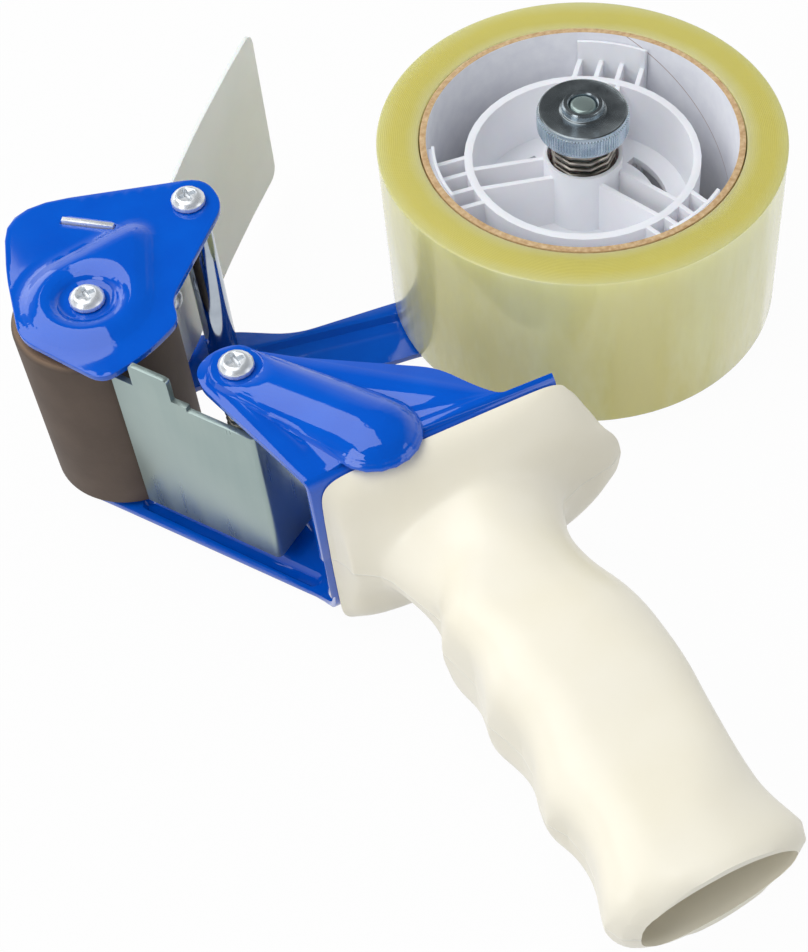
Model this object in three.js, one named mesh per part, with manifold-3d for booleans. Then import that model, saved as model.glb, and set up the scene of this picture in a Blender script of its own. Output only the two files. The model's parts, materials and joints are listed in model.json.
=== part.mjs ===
// Hand tape dispenser, lying on its side: a pressed steel frame with a roller, guide rod and knife
// at the front, a braked hub with a roll of packing tape at the back and a moulded pistol grip below.
// Millimetres. The hub axis is the Z axis and the flat head of the hub stud rests on z = 0.
// X runs from the roller (negative) to the roll, Y points up in use, so the grip hangs toward -Y.
import * as THREE from "three";
import { mergeVertices } from "three/addons/utils/BufferGeometryUtils.js";
import { ConvexGeometry } from "three/addons/geometries/ConvexGeometry.js";
import Module from "manifold-3d";

const wasm = await Module();
wasm.setup();

// Driving dimensions of the whole
const sheet = 1.5;
const channelWidth = 50;
const clearance = 0.3;
const overrun = 2;
const studHeadHeight = 3.2;

// Places of the axes across the hub axis
const rollerX = -125;
const rollerY = 6;
const rodX = -92.75;
const rodY = 23.8;
const pivotX = -104.7;
const pivotY = -29.8;

// Levels along Z
const farOuter = studHeadHeight + clearance;
const farInner = farOuter + sheet;
const nearInner = farInner + channelWidth;
const nearOuter = nearInner + sheet;
const middle = (farInner + nearInner) / 2;

// Base of the channel
const baseBottom = -66.5;
const baseFront = -105;
const baseLength = 59.5;
const farBend = 12;
const nearBend = 3;
const baseCornerRadius = 6;

// Tape and core
const coreBore = 76.2;
const coreWall = 1.6;
const tapeBuild = 10.15;
const tapeWidth = 48;
const tapeSide = 1.5;

// Sides of round forms, from the smallest to the largest
const rivetSides = 12;
const screwSides = 16;
const rodSides = 20;
const tubeSides = 24;
const ringSides = 32;
const bossSides = 40;
const hubSides = 48;
const coreSides = 64;
const rollSides = 80;

// Materials, as seen in the photograph
const paint = (hex, roughness, metalness = 0) =>
  new THREE.MeshStandardMaterial({ color: hex, roughness, metalness });
const blue = paint(0x0a4ad0, 0.3);
const cream = paint(0xf1e8d2, 0.45);
const zinc = paint(0xb4bab6, 0.35, 0.9);
const chrome = paint(0xd0d4d8, 0.2, 1);
const darkSteel = paint(0x6f716c, 0.35, 0.9);
const rubber = paint(0x5e4c40, 0.75);
const white = paint(0xe6e8f0, 0.5);
const kraft = paint(0xb98f63, 0.9);
const tape = paint(0xd6d088, 0.25);
const flapWhite = paint(0xe4e6e2, 0.5);
const knifeSteel = paint(0xc9ccd0, 0.25, 1);
const fibre = paint(0x8c3b2a, 0.8);

// Solids

function toSolid(geometry) {
  const bare = geometry.clone();
  bare.deleteAttribute("normal");
  bare.deleteAttribute("uv");
  const merged = mergeVertices(bare);
  const flat = merged.index.array;
  const kept = [];
  for (let i = 0; i < flat.length; i += 3) {
    const [a, b, c] = [flat[i], flat[i + 1], flat[i + 2]];
    if (a !== b && b !== c && c !== a) kept.push(a, b, c);
  }
  const make = (order) =>
    new wasm.Manifold(
      new wasm.Mesh({
        numProp: 3,
        vertProperties: merged.attributes.position.array,
        triVerts: new Uint32Array(order),
      }),
    );
  const solid = make(kept);
  return solid.volume() < 0 ? make(kept.reverse()) : solid;
}

function toMesh(name, solid, material) {
  const found = solid.getMesh();
  const geometry = new THREE.BufferGeometry();
  geometry.setAttribute("position", new THREE.BufferAttribute(found.vertProperties, 3));
  geometry.setIndex(new THREE.BufferAttribute(found.triVerts, 1));
  geometry.computeVertexNormals();
  const mesh = new THREE.Mesh(geometry, material);
  mesh.name = name;
  return mesh;
}

function prism(outline, bottom, top) {
  const shape = new THREE.Shape(outline.map(([x, y]) => new THREE.Vector2(x, y)));
  const geometry = new THREE.ExtrudeGeometry(shape, { depth: top - bottom, bevelEnabled: false });
  return toSolid(geometry.translate(0, 0, bottom));
}

// The same outline [z, y] drawn out along X, or [x, z] drawn out along Y.
function prismAlongX(outline, from, to) {
  const shape = new THREE.Shape(outline.map(([z, y]) => new THREE.Vector2(z, y)));
  const geometry = new THREE.ExtrudeGeometry(shape, { depth: to - from, bevelEnabled: false });
  return toSolid(geometry.rotateY(-Math.PI / 2).translate(to, 0, 0));
}

function prismAlongY(outline, from, to) {
  const shape = new THREE.Shape(outline.map(([x, z]) => new THREE.Vector2(x, z)));
  const geometry = new THREE.ExtrudeGeometry(shape, { depth: to - from, bevelEnabled: false });
  return toSolid(geometry.rotateX(Math.PI / 2).translate(0, to, 0));
}

function turnedGeometry(profile, sides) {
  const points = profile.map(([radius, z]) => new THREE.Vector2(radius, z));
  return new THREE.LatheGeometry(points, sides).rotateX(Math.PI / 2);
}

// A body of revolution about a Z axis through (x, y); the profile is a list of [radius, z].
function turned(profile, x = 0, y = 0, sides = ringSides) {
  return toSolid(turnedGeometry(profile, sides).translate(x, y, 0));
}

// The same about an axis that leaves a point in any direction.
function turnedAlong(profile, origin, direction, sides = screwSides) {
  const turn = new THREE.Quaternion().setFromUnitVectors(new THREE.Vector3(0, 0, 1), direction);
  const geometry = turnedGeometry(profile, sides).applyQuaternion(turn);
  return toSolid(geometry.translate(origin.x, origin.y, origin.z));
}

function rod(radius, bottom, top, x = 0, y = 0, sides = rodSides) {
  return turned([[0, bottom], [radius, bottom], [radius, top], [0, top]], x, y, sides);
}

function tube(bore, radius, bottom, top, x = 0, y = 0, sides = tubeSides) {
  const profile = [[bore, bottom], [radius, bottom], [radius, top], [bore, top], [bore, bottom]];
  return turned(profile, x, y, sides);
}

// A closed outline whose corners [x, y, reach] are eased over their reach along both sides.
function easedOutline(corners, steps = 5) {
  const at = (i) => new THREE.Vector2(...corners[(i + corners.length) % corners.length]);
  return corners.flatMap(([x, y, reach = 0], i) => {
    const corner = new THREE.Vector2(x, y);
    if (reach === 0) return [[x, y]];
    const before = at(i - 1).sub(corner);
    const after = at(i + 1).sub(corner);
    const start = before.clone().setLength(Math.min(reach, before.length() / 2)).add(corner);
    const end = after.clone().setLength(Math.min(reach, after.length() / 2)).add(corner);
    return new THREE.QuadraticBezierCurve(start, corner, end).getPoints(steps).map((p) => [p.x, p.y]);
  });
}

function arcPoints(x, y, radius, fromDegrees, toDegrees, steps) {
  return Array.from({ length: steps + 1 }, (_, i) => {
    const angle = THREE.MathUtils.degToRad(fromDegrees + ((toDegrees - fromDegrees) * i) / steps);
    return [x + radius * Math.cos(angle), y + radius * Math.sin(angle)];
  });
}

// The convex body round a few discs { x, y, z, radius } that lie across Z.
function hullOfDiscs(discs, sides = rodSides) {
  const points = discs.flatMap(({ x, y, z, radius }) =>
    arcPoints(x, y, radius, 0, 360, sides).slice(1).map(([px, py]) => new THREE.Vector3(px, py, z)),
  );
  return toSolid(new ConvexGeometry(points));
}

// A solid skinned over rings of points, closed by a fan at each end.
function loft(rings) {
  const count = rings[0].length;
  const positions = rings.flat();
  const index = [];
  for (let r = 0; r + 1 < rings.length; r += 1) {
    for (let k = 0; k < count; k += 1) {
      const next = (k + 1) % count;
      const [a, b] = [r * count + k, r * count + next];
      index.push(a, b, b + count, a, b + count, a + count);
    }
  }
  const last = (rings.length - 1) * count;
  for (let k = 1; k + 1 < count; k += 1) {
    index.push(0, k + 1, k, last, last + k, last + k + 1);
  }
  const geometry = new THREE.BufferGeometry();
  geometry.setAttribute("position", new THREE.Float32BufferAttribute(positions.flat(), 3));
  geometry.setIndex(index);
  return toSolid(geometry);
}

// A flat panel standing along Z: its outline [s, z] runs from (x, y) along (dx, dy),
// and its thickness is counted to the right of that direction.
function panel(outline, [x, y], [dx, dy], from, to) {
  const shape = new THREE.Shape(outline.map(([s, z]) => new THREE.Vector2(s, z)));
  const geometry = new THREE.ExtrudeGeometry(shape, { depth: to - from, bevelEnabled: false });
  const along = new THREE.Vector3(dx, dy, 0);
  const up = new THREE.Vector3(0, 0, 1);
  const right = new THREE.Vector3(dy, -dx, 0);
  const place = new THREE.Matrix4().makeBasis(along, up, right).setPosition(x, y, 0);
  return toSolid(geometry.translate(0, 0, from).applyMatrix4(place));
}

// The outline of a bent strip of sheet: an open line of corners [x, y, reach], offset on both sides.
function stripOutline(corners, from, to, steps = 4) {
  const line = corners.flatMap(([x, y, reach = 0], i) => {
    if (reach === 0 || i === 0 || i === corners.length - 1) return [new THREE.Vector2(x, y)];
    const corner = new THREE.Vector2(x, y);
    const before = new THREE.Vector2(...corners[i - 1]).sub(corner).setLength(reach).add(corner);
    const after = new THREE.Vector2(...corners[i + 1]).sub(corner).setLength(reach).add(corner);
    return new THREE.QuadraticBezierCurve(before, corner, after).getPoints(steps);
  });
  const offset = (distance) =>
    line.map((point, i) => {
      const back = point.clone().sub(line[Math.max(i - 1, 0)]).normalize();
      const ahead = line[Math.min(i + 1, line.length - 1)].clone().sub(point).normalize();
      const along = back.clone().add(ahead).normalize();
      const reach = i === 0 || i === line.length - 1 ? distance : distance / along.dot(ahead);
      return [point.x + along.y * reach, point.y - along.x * reach];
    });
  return [...offset(from), ...offset(to).reverse()];
}

// A wire of round section along points, one unbroken tube closed at both ends.
function wire(points, radius, sides = 5) {
  const frames = points.map((point, i) => {
    const before = points[Math.max(i - 1, 0)];
    const after = points[Math.min(i + 1, points.length - 1)];
    return { point, tangent: after.clone().sub(before).normalize() };
  });
  let normal = new THREE.Vector3(0, 0, 1);
  const rings = frames.map(({ point, tangent }) => {
    normal = normal.clone().addScaledVector(tangent, -normal.dot(tangent)).normalize();
    const side = new THREE.Vector3().crossVectors(tangent, normal);
    return Array.from({ length: sides }, (_, k) => {
      const angle = (k * 2 * Math.PI) / sides;
      const spot = point.clone().addScaledVector(normal, radius * Math.cos(angle));
      return spot.addScaledVector(side, radius * Math.sin(angle)).toArray();
    });
  });
  return loft(rings);
}

// Points of a coil about the Z axis of even pitch, each end straight for the given length.
function coilPoints(radius, bottom, top, turns, endLength, startDegrees = 0, stepsPerTurn = 10) {
  const steps = Math.round(turns * stepsPerTurn);
  const coil = Array.from({ length: steps + 1 }, (_, i) => {
    const angle = THREE.MathUtils.degToRad(startDegrees + (i * 360) / stepsPerTurn);
    const z = bottom + ((top - bottom) * i) / steps;
    return new THREE.Vector3(radius * Math.cos(angle), radius * Math.sin(angle), z);
  });
  const straight = (end, inner) => {
    const along = end.clone().sub(inner).setZ(0).setLength(endLength);
    return end.clone().add(along);
  };
  return [straight(coil[0], coil[1]), ...coil, straight(coil.at(-1), coil.at(-2))];
}

// The least clear gap between stretches of a wire that are not neighbours along it.
const neighbourSteps = 5;
function leastGap(points, wireDiameter) {
  let least = Infinity;
  points.forEach((a, i) =>
    points.slice(i + neighbourSteps).forEach((b) => {
      least = Math.min(least, a.distanceTo(b));
    }),
  );
  return least - wireDiameter;
}

const join = (...solids) => solids.reduce((a, b) => a.add(b));
const cut = (solid, ...tools) => tools.reduce((a, b) => a.subtract(b), solid);
const spread = (shares, size, x = 0, y = 0) =>
  shares.map(([sx, sy, reach = 0]) => [x + sx * size, y + sy * size, reach * size]);

// Side frame: one U of pressed steel. The outlines are shares of the height of the front plate,
// measured from the roller axis.
const plateHeight = 57;
const noseShares = [
  [-0.3035, -0.05, 0.07],
  [-0.2263, 0.3, 0.1],
  [-0.0982, 0.664, 0.263],
];
const farTopShares = [
  [0.6298, 0.4298, 0.1],
  [0.886, 0.2596, 0.1],
  [1.37, 0.207, 0.105],
];
const farBelowShares = [
  [1.325, -0.1246, 0.07],
  [1.16, -0.1053, 0.105],
  [0.7193, 0.0526, 0.14],
  [0.3702, 0.2, 0.053],
  [0.2649, 0.1298, 0.088],
  [0.3895, -0.2, 0.14],
  [0.5807, -0.6316, 0.14],
  [0.8982, -0.9018, 0.088],
  [1.119, -1.16, 0.07],
  [1.184, -1.232, 0.053],
  [1.395, -1.239],
  [1.395, -1.307],
  [0.3667, -1.307],
  [0.3667, -1.125, 0.07],
  [-0.1702, -0.2596, 0.088],
];
const hubEndRadius = 11.5;
const hubEndFromDegrees = 68;
const hubEndToDegrees = -94;
const hubEndSteps = 12;
const farBendSteps = 6;
const nearBendSteps = 4;
const nearArmShares = [
  [0.2035, -0.6351, 0.035],
  [0.2175, -0.5368, 0.056],
  [0.3123, -0.486, 0.053],
  [0.4211, -0.4982, 0.061],
  [0.4702, -0.5825, 0.026],
  [0.593, -0.6825, 0.053],
  [0.8982, -0.9018, 0.088],
  [1.025, -0.993, 0.07],
  [1.117, -1.161, 0.07],
  [1.172, -1.228, 0.026],
  [1.395, -1.235],
  [1.395, -1.307],
  [0.3474, -1.307],
  [0.3526, -1.284],
];

const onRoller = (shares) => spread(shares, plateHeight, rollerX, rollerY);
const farSilhouette = [
  ...easedOutline([
    ...onRoller(noseShares),
    ...onRoller(farTopShares),
    ...arcPoints(0, 0, hubEndRadius, hubEndFromDegrees, hubEndToDegrees, hubEndSteps),
    ...onRoller(farBelowShares),
  ]),
];
const nearSilhouette = easedOutline(onRoller(nearArmShares));

// Section of the channel across the walls, [z, y], with its two unequal bends
const wallTop = rollerY + plateHeight;
function channelSection() {
  const farCentre = [farOuter + farBend, baseBottom + farBend];
  const nearCentre = [nearOuter - nearBend, baseBottom + nearBend];
  const outside = [
    [farOuter, wallTop],
    ...arcPoints(...farCentre, farBend, 180, 270, farBendSteps),
    ...arcPoints(...nearCentre, nearBend, 270, 360, nearBendSteps),
    [nearOuter, wallTop],
  ];
  const inside = [
    [nearInner, wallTop],
    ...arcPoints(...nearCentre, nearBend - sheet, 360, 270, nearBendSteps),
    ...arcPoints(...farCentre, farBend - sheet, 270, 180, farBendSteps),
    [farInner, wallTop],
  ];
  return [...outside, ...inside];
}

// Pressed beads of the far wall run outward, their hollows open inward.
const beadDepth = 1.5;
const beadWall = 1.2;
const hubBeadHalf = 4;
const legBeadHalf = 3;
const beadSlope = 1.3;
const beadHollowShare = 0.5;
const hubBeadShares = [
  [0.7193, 0.2105],
  [1.93, -0.0351],
];
const legBeadShares = [
  [-0.0526, -0.3158],
  [0.3684, -1.018],
];

function bead(shares, half) {
  const ends = onRoller(shares);
  const level = (z, radius) => ends.map(([x, y]) => ({ x, y, z, radius }));
  const outer = [
    ...level(farOuter + clearance, half),
    ...level(farOuter - beadDepth, half - beadSlope),
  ];
  const inner = [
    ...level(farInner + clearance, half - beadSlope * beadHollowShare),
    ...level(farInner - beadDepth, half - beadSlope - beadWall * beadHollowShare),
  ];
  return { outer: hullOfDiscs(outer, screwSides), inner: hullOfDiscs(inner, screwSides) };
}

// The cone-shaped rib of the near arm, from the guard pivot to a bulb over the base
const ribTopRadius = 6.8;
const ribTopEdge = 6;
const ribTopRise = 1.2;
const bulbX = -87;
const bulbY = -61;
const bulbRadius = 10.5;
const bulbRise = 5.5;
const bulbBase = 8.8;
const bulbHollow = 4.2;
const bulbRoundShares = [
  [0.42, 0.9],
  [0.78, 0.63],
  [1, 0.26],
];

const screwShank = 1.9;
const screwHole = screwShank + clearance;
const studRadius = 4;
const studHole = studRadius + clearance;
const holeBottom = farOuter - beadDepth - overrun;
const holeTop = nearOuter + bulbRise + overrun;

function nearRib() {
  const pivot = { x: pivotX, y: pivotY };
  const bulb = { x: bulbX, y: bulbY };
  const outer = hullOfDiscs([
    { ...pivot, z: nearOuter - clearance, radius: ribTopRadius },
    { ...pivot, z: nearOuter + ribTopRise, radius: ribTopEdge },
    { ...bulb, z: nearOuter - clearance, radius: bulbRadius },
    ...bulbRoundShares.map(([rise, radius]) => ({
      ...bulb, z: nearOuter + bulbRise * rise, radius: bulbRadius * radius,
    })),
  ]);
  const inner = hullOfDiscs([
    { ...pivot, z: nearInner - clearance, radius: ribTopEdge },
    { ...pivot, z: nearInner + ribTopRise, radius: ribTopEdge - sheet },
    { ...bulb, z: nearInner - clearance, radius: bulbBase },
    { ...bulb, z: nearInner + bulbRise - sheet, radius: bulbHollow },
  ]);
  const aboveBase = prism(
    [
      [baseFront - plateHeight, baseBottom + sheet],
      [0, baseBottom + sheet],
      [0, wallTop],
      [baseFront - plateHeight, wallTop],
    ],
    0,
    holeTop,
  );
  return { outer, inner: inner.intersect(aboveBase) };
}

// Bolts that hold the handle to the base
const boltX = [-88, -57.5];
const boltShank = 2.1;
const boltHole = boltShank + clearance;
const boltHeadRadius = 4;
const boltHeadHeight = 2.3;
const boltReach = 10;

// A round bore along Y at (x, middle), from a level down to one depth and up to another
const upright = new THREE.Vector3(0, 1, 0);
function boltBore(x, level, below, above) {
  const profile = [[0, -below], [boltHole, -below], [boltHole, above], [0, above]];
  return turnedAlong(profile, new THREE.Vector3(x, level, middle), upright, tubeSides);
}

// Knife plate: a strip between the walls, with a tab through each and a lip bent along the tape
const knifePlateStart = [-124, 35.7];
const knifePlateBend = [-107.5, 22.1];
const knifePlateSheet = 1.2;
const lipLength = 9;
const lipDirection = [0.697, 0.717];
const lipBendReach = 2;
const tabFrom = 4.6;
const tabTo = 16.9;
const tabRise = 0.8;
const slotSide = 0.35;
const knifeLine = new THREE.Vector2(
  knifePlateBend[0] - knifePlateStart[0],
  knifePlateBend[1] - knifePlateStart[1],
).normalize();
const knifeDirection = [knifeLine.x, knifeLine.y];
const knifeHalf = knifePlateSheet / 2;
const insideFar = farInner + clearance;
const insideNear = nearInner - clearance;

const rectangle = (left, bottom, right, top) => [
  [left, bottom],
  [right, bottom],
  [right, top],
  [left, top],
];

function knifeSlot(bottom, top) {
  const outline = rectangle(tabFrom - slotSide, bottom, tabTo + slotSide, top);
  const half = knifeHalf + slotSide;
  return panel(outline, knifePlateStart, knifeDirection, -half, half);
}

function sideFrame() {
  const section = prismAlongX(channelSection(), rollerX - plateHeight, hubEndRadius + overrun);
  const farPart = section.intersect(prism(farSilhouette, 0, middle));
  const nearPart = section.intersect(prism(nearSilhouette, middle - clearance, holeTop));
  const basePlate = prismAlongY(
    rectangle(baseFront, farOuter + farBend, baseFront + baseLength, nearOuter - nearBend),
    baseBottom,
    baseBottom + sheet,
  );
  const hubBead = bead(hubBeadShares, hubBeadHalf);
  const legBead = bead(legBeadShares, legBeadHalf);
  const rib = nearRib();
  const body = join(farPart, nearPart, basePlate, hubBead.outer, legBead.outer, rib.outer);
  const screwHoles = [
    [rollerX, rollerY],
    [rodX, rodY],
    [pivotX, pivotY],
  ].map(([x, y]) => rod(screwHole, holeBottom, holeTop, x, y));
  const boltHoles = boltX.map((x) => boltBore(x, baseBottom, overrun, sheet + overrun));
  const screwSeat = rod(ribTopEdge, nearOuter + ribTopRise, holeTop, pivotX, pivotY);
  return cut(
    body,
    screwSeat,
    hubBead.inner,
    legBead.inner,
    rib.inner,
    rod(studHole, holeBottom, middle, 0, 0, ringSides),
    knifeSlot(holeBottom, middle),
    ...screwHoles,
    ...boltHoles,
  );
}

// Front side plate with its pressed drop-shaped platform and the cup round the roller screw
const frontPlateShares = [
  [-0.3053, -0.0491, 0.07],
  [-0.2263, 0.2982, 0.1],
  [-0.0982, 0.6649, 0.263],
  [0.686, 0.4175, 0.088],
  [0.686, 0.2368, 0.07],
  [0.2912, -0.1509, 0.053],
  [0.2702, -0.2719, 0.053],
  [0.1053, -0.3614, 0.088],
  [-0.1088, -0.4158, 0.07],
];
const platformRise = 2.2;
const platformRadius = 15.4;
const platformSlope = 4.6;
const shoulderRiseShare = 0.7;
const shoulderSlopeShare = 0.5;
const platformTipX = -109;
const platformTipY = 19;
const platformTipRadius = 5.4;
const platformWall = 1.3;
const cupTopRadius = 8.2;
const cupFloorRadius = 6.5;
const tipLeast = 0.5;

function frontSidePlate() {
  const wall = prism(easedOutline(onRoller(frontPlateShares)), nearInner, nearOuter);
  const discs = (z, inset) => [
    { x: rollerX, y: rollerY, z, radius: platformRadius - inset },
    { x: platformTipX, y: platformTipY, z, radius: Math.max(platformTipRadius - inset, tipLeast) },
  ];
  const outer = hullOfDiscs([
    ...discs(nearOuter - clearance, 0),
    ...discs(nearOuter + platformRise * shoulderRiseShare, platformSlope * shoulderSlopeShare),
    ...discs(nearOuter + platformRise, platformSlope),
  ], ringSides);
  const inner = hullOfDiscs([
    ...discs(nearInner - clearance, platformWall),
    ...discs(nearInner + platformRise, platformSlope + platformWall),
  ], rodSides);
  const cupTop = nearOuter + platformRise;
  const cupBody = turned([
    [0, nearInner],
    [cupFloorRadius + platformWall, nearInner],
    [cupTopRadius + platformWall, cupTop],
    [0, cupTop],
  ], rollerX, rollerY);
  const cup = turned([
    [0, nearOuter],
    [cupFloorRadius, nearOuter],
    [cupTopRadius, cupTop],
    [cupTopRadius, cupTop + overrun],
    [0, cupTop + overrun],
  ], rollerX, rollerY);
  const shell = cut(join(wall, outer), inner);
  return cut(
    join(shell, cupBody),
    cup,
    knifeSlot(middle, holeTop),
    rod(screwHole, middle, holeTop, rollerX, rollerY),
    rod(screwHole, middle, holeTop, rodX, rodY),
  );
}

// Screws of the two walls, their shafts and rods
const screwHeadRadius = 4;
const screwHeadHeight = 2.3;
const screwHeadEdge = 1.1;
const screwCrown = 2.6;
const shoulderShare = 0.67;
const screwReach = 9;
const crossHalf = 0.55;
const crossReach = 2.1;
const crossDepth = 1.4;

// The cross recess of a screw or bolt whose head rises along +Z from z = 0
function crossRecess(height) {
  const arm = (halfX, halfY) =>
    prism(rectangle(-halfX, -halfY, halfX, halfY), height - crossDepth, height + overrun);
  return join(arm(crossReach, crossHalf), arm(crossHalf, crossReach));
}

const panProfile = (reach, shank, radius, height, edge, crown) => [
  [0, -reach],
  [shank, -reach],
  [shank, 0],
  [radius, 0],
  [radius, edge],
  [(radius + crown) / 2, edge + (height - edge) * shoulderShare],
  [crown, height],
  [0, height],
];

// A pan-head screw whose head sits on (x, y, z) and rises along a direction
function panScrew([x, y, z], direction, reach, shank, radius, height) {
  const profile = panProfile(reach, shank, radius, height, screwHeadEdge, screwCrown);
  const solid = cut(turned(profile, 0, 0, screwSides), crossRecess(height));
  const turn = new THREE.Quaternion().setFromUnitVectors(new THREE.Vector3(0, 0, 1), direction);
  const mesh = toMesh("placed", solid, blue);
  mesh.geometry.applyQuaternion(turn);
  mesh.geometry.translate(x, y, z);
  return toSolid(mesh.geometry);
}

const screwSizes = [screwReach, screwShank, screwHeadRadius, screwHeadHeight];
const nearScrew = (x, y, level) =>
  panScrew([x, y, level + clearance], new THREE.Vector3(0, 0, 1), ...screwSizes);
const farScrew = (x, y) => panScrew([x, y, farOuter - clearance], new THREE.Vector3(0, 0, -1), ...screwSizes);

const rollerRadius = 18.05;
const rollerBore = 15;
const rollerBottom = 5.6;
const rollerTop = 53.2;
const rollerChamfer = 1;
const coreGap = 0.3;
const coreRim = 2.6;
const coreWebFrom = 3;
const coreHubRadius = 7.4;
const shaftRadius = 4;
const rodRadius = 3.9;
const pivotRadius = 3.2;

function rollerSleeve() {
  return turned([
    [rollerBore, rollerBottom],
    [rollerRadius - rollerChamfer, rollerBottom],
    [rollerRadius, rollerBottom + rollerChamfer],
    [rollerRadius, rollerTop - rollerChamfer],
    [rollerRadius - rollerChamfer, rollerTop],
    [rollerBore, rollerTop],
    [rollerBore, rollerBottom],
  ], rollerX, rollerY, hubSides);
}

function rollerCore() {
  const outside = rollerBore - coreGap;
  const bore = shaftRadius + clearance;
  const bottom = rollerBottom;
  const top = rollerTop;
  return turned([
    [bore, bottom],
    [coreHubRadius, bottom],
    [coreHubRadius, bottom + coreWebFrom],
    [outside - coreRim, bottom + coreWebFrom],
    [outside - coreRim, bottom],
    [outside, bottom],
    [outside, top],
    [outside - coreRim, top],
    [outside - coreRim, top - coreWebFrom],
    [coreHubRadius, top - coreWebFrom],
    [coreHubRadius, top],
    [bore, top],
    [bore, bottom],
  ], rollerX, rollerY, tubeSides);
}

// Front guard: a zinc angle whose two lugs turn on the pivot rod
const guardSheet = 1.4;
const guardTop = [-128.5, -13.5];
const guardCorner = [-108.8, -45.4];
const guardFoot = [-96.5, -37.6];
const guardBendReach = 1.6;
const guardBottomZ = 8.5;
const guardTopZ = 52.6;
const guardTabFrom = 5.9;
const guardTabTo = 16.1;
const guardTabTop = 59;
const guardTabEase = 1.2;
const lugRadius = 5.2;
const lugHole = pivotRadius + clearance;
const lugNear = 5;
const guardEdgeFrom = 20;
const guardStep = 1.2;
const lugLiftShare = 0.5;
const directionOf = ([ax, ay], [bx, by]) => new THREE.Vector2(bx - ax, by - ay).normalize().toArray();
const guardLine = directionOf(guardTop, guardCorner);
const flangeLine = directionOf(guardCorner, guardFoot);

function frontGuard() {
  const outline = stripOutline([guardTop, [...guardCorner, guardBendReach], guardFoot], -guardSheet, 0);
  const angle = prism(outline, guardBottomZ, guardTopZ);
  const tabOutline = easedOutline([
    [guardTabFrom, guardTopZ - overrun],
    [guardTabTo, guardTopZ - overrun],
    [guardTabTo, guardTabTop, guardTabEase],
    [guardTabFrom, guardTabTop, guardTabEase],
  ]);
  const tab = panel(tabOutline, guardTop, guardLine, -guardSheet, 0);
  const step = panel(
    rectangle(guardEdgeFrom, guardTopZ - guardStep, guardEdgeFrom + plateHeight, guardTopZ + overrun),
    guardTop, guardLine, -guardSheet - overrun, overrun,
  );
  const lugOutline = (z) => {
    const [fx, fy] = flangeLine;
    const near = [guardCorner[0] + fx * lugNear, guardCorner[1] + fy * lugNear];
    const lift = guardSheet * lugLiftShare;
    const up = ([x, y]) => ({ x: x - fy * lift, y: y + fx * lift, z, radius: lift });
    return [up(near), up([guardFoot[0] - fx * guardSheet, guardFoot[1] - fy * guardSheet])];
  };
  const lug = (bottom) =>
    hullOfDiscs([
      ...lugOutline(bottom),
      ...lugOutline(bottom + guardSheet),
      { x: pivotX, y: pivotY, z: bottom, radius: lugRadius },
      { x: pivotX, y: pivotY, z: bottom + guardSheet, radius: lugRadius },
    ], tubeSides);
  const body = join(cut(angle, step), tab, lug(guardBottomZ), lug(guardTopZ - guardStep - guardSheet));
  return cut(body, rod(lugHole, 0, holeTop, pivotX, pivotY));
}

// Torsion spring of the guard, round the pivot rod
const guardWire = 1;
const guardCoilRadius = 4.4;
const guardCoilBottom = 36;
const guardCoilTurns = 5;
const guardCoilPitch = 1.6;
const guardLegLength = 7.4;
const guardLegDegrees = -125;

function guardSpringPoints() {
  const top = guardCoilBottom + guardCoilTurns * guardCoilPitch;
  const coil = coilPoints(
    guardCoilRadius, guardCoilBottom, top, guardCoilTurns, guardLegLength, guardLegDegrees,
  );
  return coil.map((p) => p.add(new THREE.Vector3(pivotX, pivotY, 0)));
}

// Knife plate, knife and their rivets, and the thin springy flap fixed under the lip
const flapSheet = 1;
const flapGap = 0.7;
const knifeSheet = 0.8;
const knifeFrom = -4.6;
const knifeTo = 8.6;
const knifeBottomZ = 6.5;
const knifeTeeth = 23;
const toothPitch = 2.04;
const toothDepth = 2.4;
const knifeRivetAt = 5.4;
const rivetShank = 1.4;
const rivetHead = 2.3;
const rivetHeadHeight = 0.9;
const rivetCrownShare = 0.6;
const knifeRivetZ = [16, 44];
const flapRivetAt = 6.2;
const flapRivetZ = [28, 45];
const rivetHole = rivetShank + clearance;

// A rivet through sheets lying along a direction; the axis is the right-hand side of that direction.
function rivet([x, y], [dx, dy], along, z, from, to, shank) {
  const origin = new THREE.Vector3(x + dx * along, y + dy * along, z);
  const axis = new THREE.Vector3(dy, -dx, 0);
  const profile = [
    [0, from],
    [rivetHead * rivetCrownShare, from],
    [rivetHead, from + rivetHeadHeight * rivetCrownShare],
    [rivetHead, from + rivetHeadHeight],
    [shank, from + rivetHeadHeight],
    [shank, to - rivetHeadHeight],
    [rivetHead, to - rivetHeadHeight],
    [rivetHead, to - rivetHeadHeight * rivetCrownShare],
    [rivetHead * rivetCrownShare, to],
    [0, to],
  ];
  return turnedAlong(profile, origin, axis, rivetSides);
}

function drill([x, y], [dx, dy], along, z, radius) {
  const origin = new THREE.Vector3(x + dx * along, y + dy * along, z);
  const reach = knifePlateSheet + flapGap + flapSheet + overrun;
  const profile = [[0, -reach], [radius, -reach], [radius, reach], [0, reach]];
  return turnedAlong(profile, origin, new THREE.Vector3(dy, -dx, 0), rivetSides);
}

const knifeHoles = () =>
  knifeRivetZ.map((z) => drill(knifePlateStart, knifeDirection, knifeRivetAt, z, rivetHole));
const lipHoles = () => flapRivetZ.map((z) => drill(knifePlateBend, lipDirection, flapRivetAt, z, rivetHole));

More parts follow.
